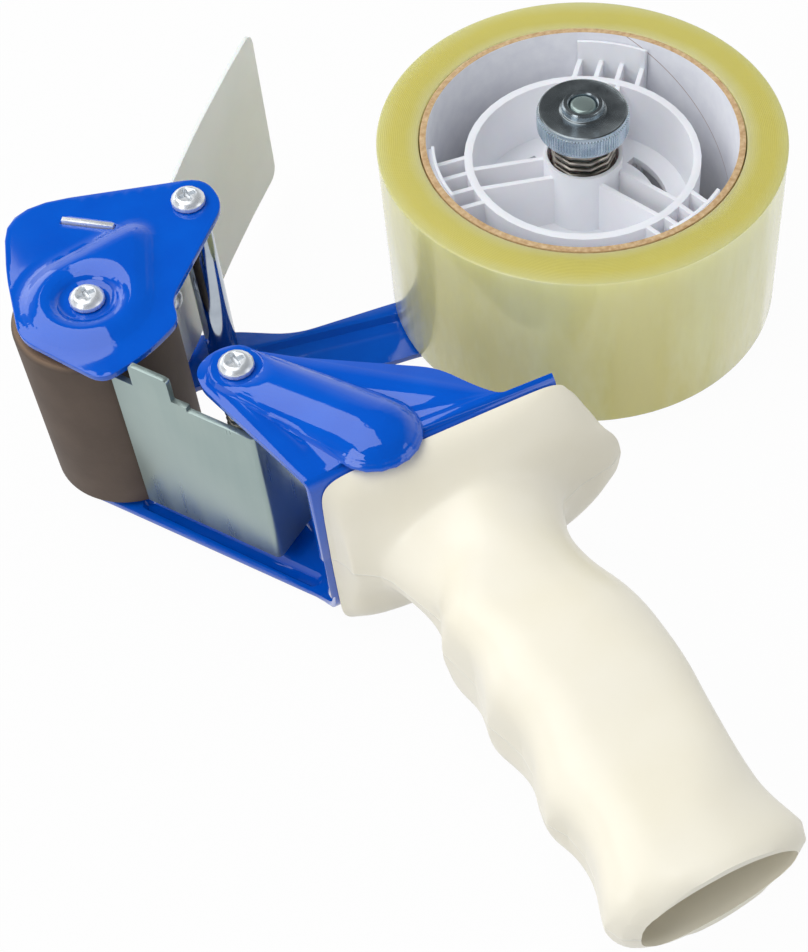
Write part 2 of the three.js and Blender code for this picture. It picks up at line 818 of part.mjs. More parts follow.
function knifePlate() {
  const lipEnd = [
    knifePlateBend[0] + lipDirection[0] * lipLength,
    knifePlateBend[1] + lipDirection[1] * lipLength,
  ];
  const outline = stripOutline(
    [knifePlateStart, [...knifePlateBend, lipBendReach], lipEnd], -knifeHalf, knifeHalf,
  );
  const strip = prism(outline, insideFar, insideNear);
  const tabOutline = rectangle(tabFrom, farOuter - tabRise, tabTo, nearOuter + tabRise);
  const tabs = panel(tabOutline, knifePlateStart, knifeDirection, -knifeHalf, knifeHalf);
  return cut(join(strip, tabs), ...knifeHoles(), ...lipHoles());
}

function knife() {
  const edge = Array.from({ length: knifeTeeth }, (_, i) => {
    const z = knifeBottomZ + i * toothPitch;
    return [
      [knifeFrom + toothDepth, z],
      [knifeFrom, z + toothPitch / 2],
    ];
  }).flat();
  const top = knifeBottomZ + knifeTeeth * toothPitch;
  const outline = [...edge, [knifeFrom + toothDepth, top], [knifeTo, top], [knifeTo, knifeBottomZ]];
  const from = knifeHalf + clearance;
  const blade = panel(outline, knifePlateStart, knifeDirection, from, from + knifeSheet);
  return cut(blade, ...knifeHoles());
}

// Tape flap
const flapFrom = 3.9;
const flapEnd = [-53.7, 76.6];
const flapBottomZ = 6.5;
const flapTopZ = 53.5;
const flapLift = 2;
const flapCorner = 4;
const flapSteps = 8;

function tapeFlap() {
  const side = knifeHalf + flapGap + flapSheet / 2;
  const [lx, ly] = lipDirection;
  const start = new THREE.Vector2(
    knifePlateBend[0] + lx * flapFrom + ly * side,
    knifePlateBend[1] + ly * flapFrom - lx * side,
  );
  const end = new THREE.Vector2(...flapEnd);
  const along = end.clone().sub(start).normalize();
  const middlePoint = start.clone().lerp(end, 0.5);
  middlePoint.add(new THREE.Vector2(-along.y, along.x).multiplyScalar(flapLift));
  const straight = new THREE.Vector2(lx, ly).multiplyScalar(lipLength).add(start);
  const line = [start, ...new THREE.QuadraticBezierCurve(straight, middlePoint, end).getPoints(flapSteps)];
  const outline = stripOutline(line.map((p) => [p.x, p.y]), -flapSheet / 2, flapSheet / 2);
  const length = start.distanceTo(end);
  const blankOutline = easedOutline([
    [-overrun, flapBottomZ],
    [length, flapBottomZ, flapCorner],
    [length, flapTopZ, flapCorner],
    [-overrun, flapTopZ],
  ]);
  const reach = flapLift + flapSheet + overrun;
  const blank = panel(blankOutline, start.toArray(), along.toArray(), -reach, reach);
  return cut(prism(outline, flapBottomZ, flapTopZ).intersect(blank), ...lipHoles());
}

// Hub: stud, lock nut, washer, moulded tape hub, spring and knurled nut
const studHeadRadius = 9;
const studStep = 52.5;
const threadRadius = 3.25;
const studChamfer = 0.6;
const headChamfer = 0.8;
const lockNutAcross = 13;
const lockNutHeight = 5;
const nutFlats = 6;
const hubWasherRadius = 8.5;
const hubWasherHeight = 1.2;

function hubStud() {
  return turned([
    [0, 0],
    [studHeadRadius - headChamfer, 0],
    [studHeadRadius, headChamfer],
    [studHeadRadius, studHeadHeight],
    [studRadius, studHeadHeight],
    [studRadius, studStep],
    [threadRadius, studStep],
    [threadRadius, studTop - studChamfer],
    [threadRadius - studChamfer, studTop],
    [0, studTop],
  ]);
}

const lockNutBottom = farInner + clearance;
const lockNutTop = lockNutBottom + lockNutHeight;
const hubWasherBottom = lockNutTop + clearance;
const hubWasherTop = hubWasherBottom + hubWasherHeight;
const lockNutRadius = lockNutAcross / Math.sqrt(3);

function lockNut() {
  const hexagon = arcPoints(0, 0, lockNutRadius, 0, 360, nutFlats).slice(1);
  return cut(prism(hexagon, lockNutBottom, lockNutTop), rod(studHole, 0, middle, 0, 0, ringSides));
}

// Tape hub
const bossBottom = hubWasherTop + clearance;
const bossTop = 49;
const spokeTop = 46.5;
const bossRadius = 9.8;
const cupRadius = 8.8;
const cupDepth = 5;
const hubRingOuter = 29.2;
const hubRingInner = 27.2;
const hubRingTop = 48.1;
const hubFloor = 30;
const hubFloorTop = 32;
const hubRingBottom = 28;
const hubRingThin = 1;
const spokeHalfGap = 3.5;
const spokeSheet = 1.2;
const spokeDegrees = [48, 168, 288];
const padOuter = coreBore / 2 - clearance;
const padSheet = 1.6;
const padInner = padOuter - padSheet;
const padHalfDegrees = 14;
const padBottom = farInner + clearance;
const padTop = 53;
const padEntry = 0.8;
const padFinDrop = 5.5;
const finSpacing = 5.4;
const finShares = [-1.5, -0.5, 0.5, 1.5];
const finBottom = 20;
const lipRadius = 40.4;
const lipHeight = 0.8;
const arcSlotInner = 19;
const arcSlotOuter = 21.8;
const arcSlotFrom = 47;
const arcSlotTo = 95;
const notchHalf = 1.5;

const rotated = (point, degrees) => {
  const angle = THREE.MathUtils.degToRad(degrees);
  const [x, y] = point;
  return [x * Math.cos(angle) - y * Math.sin(angle), x * Math.sin(angle) + y * Math.cos(angle)];
};

// An upright rib that runs outward from radius a to radius b at an offset from the radius, with a sloping top
function rib(degrees, offset, a, b, bottom, topA, topB) {
  const start = rotated([0, offset], degrees);
  const direction = rotated([1, 0], degrees);
  const outline = [[a, bottom], [b, bottom], [b, topB], [a, topA]];
  return panel(outline, start, direction, -spokeSheet / 2, spokeSheet / 2);
}

function sector(inner, outer, fromDegrees, toDegrees, bottom, top, steps = 8) {
  const outline = [
    ...arcPoints(0, 0, outer, fromDegrees, toDegrees, steps),
    ...arcPoints(0, 0, inner, toDegrees, fromDegrees, steps),
  ];
  return prism(outline, bottom, top);
}

function padBody(degrees) {
  const from = degrees - padHalfDegrees;
  const to = degrees + padHalfDegrees;
  const pad = sector(padInner, padOuter, from, to, padBottom, padTop - padEntry);
  const entry = sector(padInner, padOuter - padEntry, from, to, padBottom, padTop);
  const lip = sector(padInner, lipRadius, from, to, padBottom, padBottom + lipHeight);
  const fins = finShares.map((share) => {
    const offset = finSpacing * share;
    const reach = (radius) => Math.sqrt(radius * radius - offset * offset);
    const a = reach((hubRingInner + hubRingOuter) / 2);
    const b = reach((padInner + padOuter) / 2);
    return rib(degrees, offset, a, b, finBottom, hubRingTop, padTop - padFinDrop);
  });
  return join(pad, entry, lip, ...fins);
}

function tapeHub() {
  const boss = rod(bossRadius, bossBottom, bossTop, 0, 0, bossSides);
  const floor = rod(hubRingOuter - hubRingThin, hubFloor, hubFloorTop, 0, 0, hubSides);
  const ring = tube(hubRingInner, hubRingOuter, hubRingBottom, hubRingTop, 0, 0, hubSides);
  const inner = bossRadius - spokeSheet;
  const outer = (hubRingInner + hubRingOuter) / 2;
  const spokes = spokeDegrees.flatMap((degrees) =>
    [-spokeHalfGap, spokeHalfGap].map((offset) => {
      const a = Math.sqrt(inner * inner - offset * offset);
      const b = Math.sqrt(outer * outer - offset * offset);
      return rib(degrees, offset, a, b, hubFloor, spokeTop, hubRingTop);
    }),
  );
  const pads = spokeDegrees.map(padBody);
  const slots = spokeDegrees.map((degrees) => {
    const [from, to] = [degrees + arcSlotFrom, degrees + arcSlotTo];
    return sector(arcSlotInner, arcSlotOuter, from, to, hubFloor - overrun, hubFloorTop + overrun);
  });
  const notch = prism(
    rectangle(-notchHalf, cupRadius - notchHalf, notchHalf, bossRadius + overrun),
    bossTop - cupDepth, bossTop + overrun,
  );
  return cut(
    join(boss, floor, ring, ...spokes, ...pads),
    rod(studHole, bossBottom - overrun, bossTop + overrun, 0, 0, ringSides),
    rod(cupRadius, bossTop - cupDepth, bossTop + overrun, 0, 0, bossSides),
    notch,
    ...slots,
  );
}

// Tension spring, washer and nut
const springWire = 1.3;
const springRadius = 7.6;
const springTurns = 5;
const springBottom = bossTop - cupDepth + springWire / 2 + clearance;
const springWasherBottom = 55.2;
const springWasherTop = 56.2;
const springTop = springWasherBottom - springWire / 2 - clearance;
const nutBottom = springWasherTop + clearance;
const nutHeight = 6;
const nutTop = nutBottom + nutHeight;
const nutRadius = 11.2;
const nutChamfer = 1;
const nutBore = threadRadius + clearance;
const nutCollar = 5.25;
const nutCollarHeight = 1.6;
const nutKnurls = 30;
const nutFaceTop = nutTop + nutCollarHeight;
const studRecess = 0.1;
const studTop = nutFaceTop - studRecess;
const knurlDepth = 0.45;
const nutDish = 0.5;

function tensionNut() {
  const points = Array.from({ length: 2 * nutKnurls }, (_, i) =>
    rotated([nutRadius - (i % 2) * knurlDepth, 0], (i * 180) / nutKnurls),
  );
  const crown = turned([
    [0, nutBottom],
    [nutRadius - nutChamfer, nutBottom],
    [nutRadius + clearance, nutBottom + nutChamfer],
    [nutRadius + clearance, nutTop - nutChamfer],
    [nutRadius - nutChamfer, nutTop],
    [nutCollar + nutChamfer, nutTop],
    [nutCollar, nutTop - nutDish],
    [nutCollar, nutFaceTop],
    [0, nutFaceTop],
  ], 0, 0, hubSides);
  const knurled = join(
    prism(points, nutBottom, nutTop),
    rod(nutCollar, nutBottom, nutFaceTop, 0, 0, bossSides),
  );
  const bore = rod(nutBore, nutBottom - overrun, nutFaceTop + overrun, 0, 0, ringSides);
  return cut(knurled.intersect(crown), bore);
}

// Tape core and roll of tape
const tapeBottom = farInner + tapeSide;
const tapeTop = tapeBottom + tapeWidth;
const rollBore = coreBore / 2 + coreWall + clearance;
const rollRadius = rollBore + tapeBuild;

// Handle: two moulded halves, lofted through stations down the grip.
// Each station: drop, front, back, half thickness, all as shares of the handle's length, and two
// roundness powers, front and back. Drop is counted from the top, front and back from the base's front.
const handleTop = baseBottom - clearance;
const handleLength = 113.2;
const handleWall = 3.2;
const handleHollowFrom = 14;
const seamHalf = 0.15;
const ringSteps = 16;
const handleShares = [
  [-0, 0.0141, 0.5565, 0.2297, 10, 9],
  [0.0088, 0.023, 0.5707, 0.2288, 8, 6.5],
  [0.0327, 0.0318, 0.6131, 0.2191, 5.5, 2.9],
  [0.0548, 0.0353, 0.6413, 0.1926, 2.3, 2.1],
  [0.0742, 0.0618, 0.6095, 0.1696, 1.9, 1.9],
  [0.0866, 0.0777, 0.53, 0.1555, 1.8, 1.8],
  [0.1095, 0.091, 0.4717, 0.1466, 1.8, 1.7],
  [0.1873, 0.1148, 0.4426, 0.144, 1.8, 1.7],
  [0.2403, 0.1307, 0.4373, 0.1475, 3, 1.9],
  [0.3021, 0.0989, 0.4479, 0.1511, 4.4, 1.9],
  [0.3551, 0.1087, 0.4664, 0.1537, 4.6, 2],
  [0.3993, 0.1184, 0.4726, 0.1581, 4.2, 2.2],
  [0.4479, 0.1078, 0.4761, 0.1634, 3.9, 2.4],
  [0.4876, 0.0954, 0.4761, 0.1634, 3.8, 2.5],
  [0.5318, 0.1087, 0.4744, 0.1599, 3.7, 2.7],
  [0.576, 0.1193, 0.4708, 0.1537, 3.8, 3],
  [0.6201, 0.1166, 0.4655, 0.1458, 3.7, 3.4],
  [0.6643, 0.0998, 0.4585, 0.1369, 3.3, 3.7],
  [0.7217, 0.0866, 0.4532, 0.1307, 3, 3.8],
  [0.7615, 0.1087, 0.4514, 0.1281, 3.4, 3.3],
  [0.8145, 0.114, 0.4541, 0.1246, 3.7, 2.5],
  [0.8587, 0.1069, 0.4594, 0.1237, 3.7, 1.9],
  [0.9028, 0.0892, 0.4708, 0.121, 3.5, 1.7],
  [0.947, 0.0733, 0.4859, 0.1148, 3.2, 1.7],
  [0.9823, 0.0883, 0.4717, 0.1113, 2.5, 1.8],
  [1, 0.1166, 0.4399, 0.1025, 1.9, 1.8],
];

function handleRing([drop, front, back, half, frontPower, backPower], inset, y) {
  const f = baseFront + front * handleLength + inset;
  const b = baseFront + back * handleLength - inset;
  const t = half * handleLength - inset;
  const [centre, reach] = [(f + b) / 2, (b - f) / 2];
  const level = y ?? handleTop - drop * handleLength;
  return Array.from({ length: 2 * ringSteps }, (_, i) => {
    const angle = (i * Math.PI) / ringSteps;
    const [c, s] = [Math.cos(angle), Math.sin(angle)];
    const power = 2 / (c > 0 ? backPower : frontPower);
    const x = centre + reach * Math.sign(c) * Math.abs(c) ** power;
    return [x, level, middle + t * Math.sign(s) * Math.abs(s) ** power];
  });
}

function handleBody() {
  const outer = loft(handleShares.map((station) => handleRing(station, 0)));
  const hollowStations = handleShares.filter(([drop]) => drop * handleLength > handleHollowFrom);
  const openStations = hollowStations.slice(0, -1);
  const hollow = loft([
    ...openStations.map((station) => handleRing(station, handleWall)),
    handleRing(openStations.at(-1), handleWall, handleTop - handleLength - overrun),
  ]);
  const bores = boltX.map((x) => boltBore(x, handleTop, boltReach + overrun, overrun));
  return cut(outer, hollow, ...bores);
}

const handleSpan = rectangle(
  baseFront - handleLength, handleTop - handleLength - overrun, handleLength, handleTop + overrun,
);
const wholeHandle = handleBody();
const handleNear = wholeHandle.intersect(prism(handleSpan, middle + seamHalf, nearOuter + middle));
const handleFar = wholeHandle.intersect(prism(handleSpan, -middle, middle - seamHalf));

const springPoints = coilPoints(springRadius, springBottom, springTop, springTurns, springWire);
const guardPoints = guardSpringPoints();
console.log("tension spring, least gap to itself in mm:", leastGap(springPoints, springWire).toFixed(2));
console.log("guard spring, least gap to itself in mm:", leastGap(guardPoints, guardWire).toFixed(2));

const boltSeat = baseBottom + sheet + clearance;
const boltSizes = [boltReach, boltShank, boltHeadRadius, boltHeadHeight];
const bolt = (x) => panScrew([x, boltSeat, middle], upright, ...boltSizes);
const knifeRivets = knifeRivetZ.map((z) => {
  const from = -knifeHalf - clearance - rivetHeadHeight;
  const to = knifeHalf + clearance + knifeSheet + clearance + rivetHeadHeight;
  return rivet(knifePlateStart, knifeDirection, knifeRivetAt, z, from, to, rivetShank);
});
const flapRivets = flapRivetZ.map((z) => {
  const from = -knifeHalf - clearance - rivetHeadHeight;
  const to = knifeHalf + 2 * flapGap + flapSheet + rivetHeadHeight;
  return rivet(knifePlateBend, lipDirection, flapRivetAt, z, from, to, rivetShank);
});

const pieces = [
  ["side_frame", sideFrame(), blue],
  ["front_side_plate", frontSidePlate(), blue],
  ["roller_shaft", tube(screwHole, shaftRadius, insideFar, insideNear, rollerX, rollerY), chrome],
  ["guide_rod", tube(screwHole, rodRadius, insideFar, insideNear, rodX, rodY), chrome],
  ["guard_pivot_rod", tube(screwHole, pivotRadius, insideFar, insideNear, pivotX, pivotY), chrome],
  ["roller_screw_near", nearScrew(rollerX, rollerY, nearOuter), zinc],
  ["rod_screw_near", nearScrew(rodX, rodY, nearOuter), zinc],
  ["pivot_screw_near", nearScrew(pivotX, pivotY, nearOuter + ribTopRise), zinc],
  ["roller_screw_far", farScrew(rollerX, rollerY), zinc],
  ["rod_screw_far", farScrew(rodX, rodY), zinc],
  ["pivot_screw_far", farScrew(pivotX, pivotY), zinc],
  ["roller_sleeve", rollerSleeve(), rubber],
  ["roller_core", rollerCore(), white],
  ["front_guard", frontGuard(), zinc],
  ["guard_spring", wire(guardPoints, guardWire / 2), darkSteel],
  ["knife_plate", knifePlate(), zinc],
  ["knife", knife(), knifeSteel],
  ["knife_rivet_1", knifeRivets[0], zinc],
  ["knife_rivet_2", knifeRivets[1], zinc],
  ["tape_flap", tapeFlap(), flapWhite],
  ["flap_rivet_1", flapRivets[0], zinc],
  ["flap_rivet_2", flapRivets[1], zinc],
  ["hub_stud", hubStud(), zinc],
  ["hub_lock_nut", lockNut(), zinc],
  ["hub_washer", tube(studHole, hubWasherRadius, hubWasherBottom, hubWasherTop), fibre],
  ["tape_hub", tapeHub(), white],
  ["tension_spring", wire(springPoints, springWire / 2), darkSteel],
  ["spring_washer", tube(threadRadius + clearance, cupRadius, springWasherBottom, springWasherTop), zinc],
  ["tension_nut", tensionNut(), darkSteel],
  ["tape_core", tube(coreBore / 2, coreBore / 2 + coreWall, tapeBottom, tapeTop, 0, 0, coreSides), kraft],
  ["tape_roll", tube(rollBore, rollRadius, tapeBottom, tapeTop, 0, 0, rollSides), tape],
  ["handle_half_near", handleNear, cream],
  ["handle_half_far", handleFar, cream],
  ["handle_bolt_front", bolt(boltX[0]), zinc],
  ["handle_bolt_rear", bolt(boltX[1]), zinc],
];

const group = new THREE.Group();
for (const [name, solid, material] of pieces) {
  group.add(toMesh(name, solid, material));
}

export default group;
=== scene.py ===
# Hand tape dispenser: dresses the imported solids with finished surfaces, seen as in the photograph.
import json
import math

import bmesh
import bpy
import numpy as np
from mathutils import Matrix, Vector
from mathutils.bvhtree import BVHTree


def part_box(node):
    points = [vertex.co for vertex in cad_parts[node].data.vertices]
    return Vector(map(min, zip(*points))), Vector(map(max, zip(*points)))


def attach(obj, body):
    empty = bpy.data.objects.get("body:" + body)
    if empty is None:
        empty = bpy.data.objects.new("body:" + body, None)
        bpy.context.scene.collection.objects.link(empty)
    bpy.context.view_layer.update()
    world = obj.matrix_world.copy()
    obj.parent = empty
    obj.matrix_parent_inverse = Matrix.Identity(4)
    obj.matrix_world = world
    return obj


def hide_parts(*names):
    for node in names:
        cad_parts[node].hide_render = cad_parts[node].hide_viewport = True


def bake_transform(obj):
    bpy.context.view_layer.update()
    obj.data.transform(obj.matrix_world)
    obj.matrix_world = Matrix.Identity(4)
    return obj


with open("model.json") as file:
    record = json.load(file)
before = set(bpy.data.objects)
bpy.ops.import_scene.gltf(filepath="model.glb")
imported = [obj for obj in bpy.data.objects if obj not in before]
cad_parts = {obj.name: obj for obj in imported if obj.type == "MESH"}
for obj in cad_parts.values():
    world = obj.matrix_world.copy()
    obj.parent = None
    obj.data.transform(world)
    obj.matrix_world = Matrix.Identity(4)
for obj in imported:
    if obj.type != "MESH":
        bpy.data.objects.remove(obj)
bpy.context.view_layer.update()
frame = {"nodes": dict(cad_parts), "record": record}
BODY_OF = {n: b for b, ns in frame["record"]["behaviour"]["bodies"].items() for n in ns}
MM = 0.001

# Places in the part's frame, in metres: the axes and the near arm's rib in plan,
# and the radius of the flat seat under each screw
HUB_AXIS = (0.0, 0.0)
ROLLER_AXIS = (-0.125, 0.006)
PIVOT_AXIS = (-0.1047, -0.0298)
RIB_LOW = (-0.115, -0.082)
RIB_HIGH = (-0.066, -0.012)
ROLLER_SEAT = 5.5 * MM
PIVOT_SEAT = 6.2 * MM

# Camera, as fitted to the two circles of the roll in the photograph
CAMERA_PLACE = (-0.17823, -0.30599, 0.36384)
CAMERA_LENS = 70.44
CAMERA_SENSOR = 36.0
CAMERA_SHIFT = (-0.2190, 0.1885)
CAMERA_TILT = 0.0236
CAMERA_CLIP = 10 * MM
LEVEL_RIGHT = Vector((0.84931, -0.52789, 0.0))
LEVEL_UP = Vector((0.44147, 0.71028, 0.5483))


def photo_camera():
    """The photograph's camera, turned by its tilt about its own line of sight."""
    right = LEVEL_RIGHT * math.cos(CAMERA_TILT) + LEVEL_UP * math.sin(CAMERA_TILT)
    up = LEVEL_UP * math.cos(CAMERA_TILT) - LEVEL_RIGHT * math.sin(CAMERA_TILT)
    data = bpy.data.cameras.new("camera")
    data.sensor_fit = "AUTO"
    data.sensor_width = CAMERA_SENSOR
    data.lens = CAMERA_LENS
    data.shift_x, data.shift_y = CAMERA_SHIFT
    data.clip_start = CAMERA_CLIP
    camera = bpy.data.objects.new("camera", data)
    bpy.context.scene.collection.objects.link(camera)
    turn = Matrix((right, up, right.cross(up))).transposed().to_4x4()
    camera.matrix_world = Matrix.Translation(CAMERA_PLACE) @ turn
    bpy.context.scene.camera = camera


photo_camera()


# Helpers for shapes
MERGE_GAP = 0.002 * MM
EASE_SHARE = 0.45


def make_active(piece):
    if bpy.context.object and bpy.context.object.mode != "OBJECT":
        bpy.ops.object.mode_set(mode="OBJECT")
    bpy.ops.object.select_all(action="DESELECT")
    piece.select_set(True)
    bpy.context.view_layer.objects.active = piece


def edit_whole(piece):
    """Opens a piece in edit mode with its whole mesh selected."""
    make_active(piece)
    bpy.ops.object.mode_set(mode="EDIT")
    bpy.ops.mesh.select_all(action="SELECT")


def apply_all(piece):
    make_active(piece)
    for modifier in list(piece.modifiers):
        bpy.ops.object.modifier_apply(modifier=modifier.name)


def shade_smooth(piece, degrees):
    make_active(piece)
    bpy.ops.object.shade_smooth_by_angle(angle=math.radians(degrees))


def soften(piece, width, segments=2, angle=38, smooth=32):
    """Rounds edges above one angle and shades folds below another smooth, in degrees."""
    if width > 0:
        bevel = piece.modifiers.new("round", "BEVEL")
        bevel.width = width
        bevel.segments = segments
        bevel.limit_method = "ANGLE"
        bevel.angle_limit = math.radians(angle)
        bevel.use_clamp_overlap = True
        bevel.harden_normals = False
        apply_all(piece)
    shade_smooth(piece, smooth)


def adopt(piece, node, material, rides=True):
    """Lets a piece stand for its node: body, slot and finish."""
    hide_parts(node)
    if rides:
        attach(piece, BODY_OF[node])
    piece.data.materials.clear()
    piece.data.materials.append(material)


def from_node(node, name, material, width=0.0, segments=2, angle=38, smooth=32, flat=1.0, rides=True):
    """A cleaned copy of a node's solid: doubles merged, flats dissolved, edges rounded."""
    make_active(frame["nodes"][node])
    bpy.ops.object.duplicate()
    piece = bpy.context.object
    piece.name = name
    piece.parent = None
    for key in list(piece.keys()):
        del piece[key]
    edit_whole(piece)
    bpy.ops.mesh.remove_doubles(threshold=MERGE_GAP)
    if flat > 0:
        bpy.ops.mesh.dissolve_limited(angle_limit=math.radians(flat))
    bpy.ops.object.mode_set(mode="OBJECT")
    soften(piece, width, segments, angle, smooth)
    adopt(piece, node, material, rides)
    return piece


def spun(name, profile, centre, steps):
    """A turned piece: a closed profile of [radius, z] in metres, spun round a Z axis."""
    mesh = bpy.data.meshes.new(name)
    sketch = bmesh.new()
    points = [sketch.verts.new((centre[0] + r, centre[1], z)) for r, z in profile]
    for i, point in enumerate(points):
        sketch.edges.new((point, points[(i + 1) % len(points)]))
    sketch.to_mesh(mesh)
    sketch.free()
    piece = bpy.data.objects.new(name, mesh)
    bpy.context.scene.collection.objects.link(piece)
    edit_whole(piece)
    bpy.ops.mesh.spin(steps=steps, angle=2 * math.pi, center=(centre[0], centre[1], 0), axis=(0, 0, 1))
    bpy.ops.mesh.select_all(action="SELECT")
    bpy.ops.mesh.remove_doubles(threshold=MERGE_GAP)
    bpy.ops.mesh.normals_make_consistent(inside=False)
    bpy.ops.object.mode_set(mode="OBJECT")
    return piece


def rounded_profile(corners, ease, steps=4):
    """Eases the corners of a closed [radius, z] profile by curves of so many steps."""
    eased = []
    count = len(corners)
    for i, corner in enumerate(corners):
        at = Vector(corner)
        before = Vector(corners[i - 1]) - at
        after = Vector(corners[(i + 1) % count]) - at
        reach = min(ease, before.length * EASE_SHARE, after.length * EASE_SHARE)
        start = at + before.normalized() * reach
        end = at + after.normalized() * reach
        for k in range(steps + 1):
            t = k / steps
            point = start * (1 - t) ** 2 + at * 2 * t * (1 - t) + end * t ** 2
            eased.append((point.x, point.y))
    return eased


def square_ring(low, high, bore, rim):
    """Corners of a plain ring's profile, between the heights of a box."""
    return [(bore, low[2]), (rim, low[2]), (rim, high[2]), (bore, high[2])]


# Soft pressings: the sheet's thickness, the depth below its face down to which both skins move,
# the longest mesh edge, the cell of the height field, the height its rays start from, and the
# shading angle in degrees
SHEET = 1.5 * MM
SKIN = 2 * MM
PRESS_EDGE = 0.9 * MM
PRESS_CELL = 0.4 * MM
PRESS_SKY = 20 * MM
PRESS_SMOOTH = 44


def blurred(field, cells):
    """A height field blurred along both axes by a bell curve of so many cells."""
    reach = int(3 * cells)
    bell = np.exp(-0.5 * (np.arange(-reach, reach + 1) / cells) ** 2)
    bell /= bell.sum()
    for axis in (0, 1):
        spread = [(reach, reach) if k == axis else (0, 0) for k in (0, 1)]
        padded = np.pad(field, spread, mode="edge")
        field = np.apply_along_axis(lambda row: np.convolve(row, bell, mode="valid"), axis, padded)
    return field


def heights_above(form, low, counts, floor):
    """Heights of a form above the floor level, found by rays cast down on a grid of cells."""
    tree = BVHTree.FromBMesh(form)
    heights = np.zeros(counts)
    for i in range(counts[0]):
        for j in range(counts[1]):
            start = Vector((low[0] + i * PRESS_CELL, low[1] + j * PRESS_CELL, floor + PRESS_SKY))
            hit = tree.ray_cast(start, Vector((0, 0, -1)))[0]
            heights[i, j] = max(hit.z - floor, 0.0) if hit is not None else 0.0
    return heights


def press_softly(piece, low, high, floor, blur, seats):
    """Softens pressed forms: heights above the floor level are blurred, in both skins alike.

    low and high bound the place in x and y, seats lists [x, y, radius] that keep their height.
    """
    form = bmesh.new()
    form.from_mesh(piece.data)

    def inside(vertex):
        in_plan = all(low[k] <= vertex.co[k] <= high[k] for k in (0, 1))
        return in_plan and vertex.co.z > floor - SKIN

    def split_faces():
        bmesh.ops.triangulate(form, faces=[f for f in form.faces if all(inside(v) for v in f.verts)])

    # Long edges are halved in three rounds, from coarse to fine
    for share in (4, 2, 1):
        finest = PRESS_EDGE * share
        split_faces()
        long = [e for e in form.edges if e.calc_length() > finest and all(inside(v) for v in e.verts)]
        bmesh.ops.subdivide_edges(form, edges=long, cuts=1, use_grid_fill=False)
    split_faces()
    counts = [int((high[k] - low[k]) / PRESS_CELL) + 1 for k in (0, 1)]
    heights = heights_above(form, low, counts, floor)
    change = blurred(heights, blur / PRESS_CELL) - heights
    for vertex in form.verts:
        if not inside(vertex):
            continue
        across = (vertex.co.x - low[0]) / PRESS_CELL
        along = (vertex.co.y - low[1]) / PRESS_CELL
        i, j = min(int(across), counts[0] - 2), min(int(along), counts[1] - 2)
        u, v = across - i, along - j
        lift = (1 - u) * ((1 - v) * change[i, j] + v * change[i, j + 1])
        lift += u * ((1 - v) * change[i + 1, j] + v * change[i + 1, j + 1])
        for x, y, radius in seats:
            away = math.hypot(vertex.co.x - x, vertex.co.y - y) - radius
            lift *= min(max(away / blur, 0.0), 1.0)
        vertex.co.z += lift
    form.to_mesh(piece.data)
    form.free()
    shade_smooth(piece, PRESS_SMOOTH)


# Helpers for finishes
def colour(red, green, blue):
    """Linear colour from the 0-255 values read off the photograph."""
    channels = [c / 255 for c in (red, green, blue)]
    return tuple(c / 12.92 if c <= 0.04045 else ((c + 0.055) / 1.055) ** 2.4 for c in channels) + (1.0,)


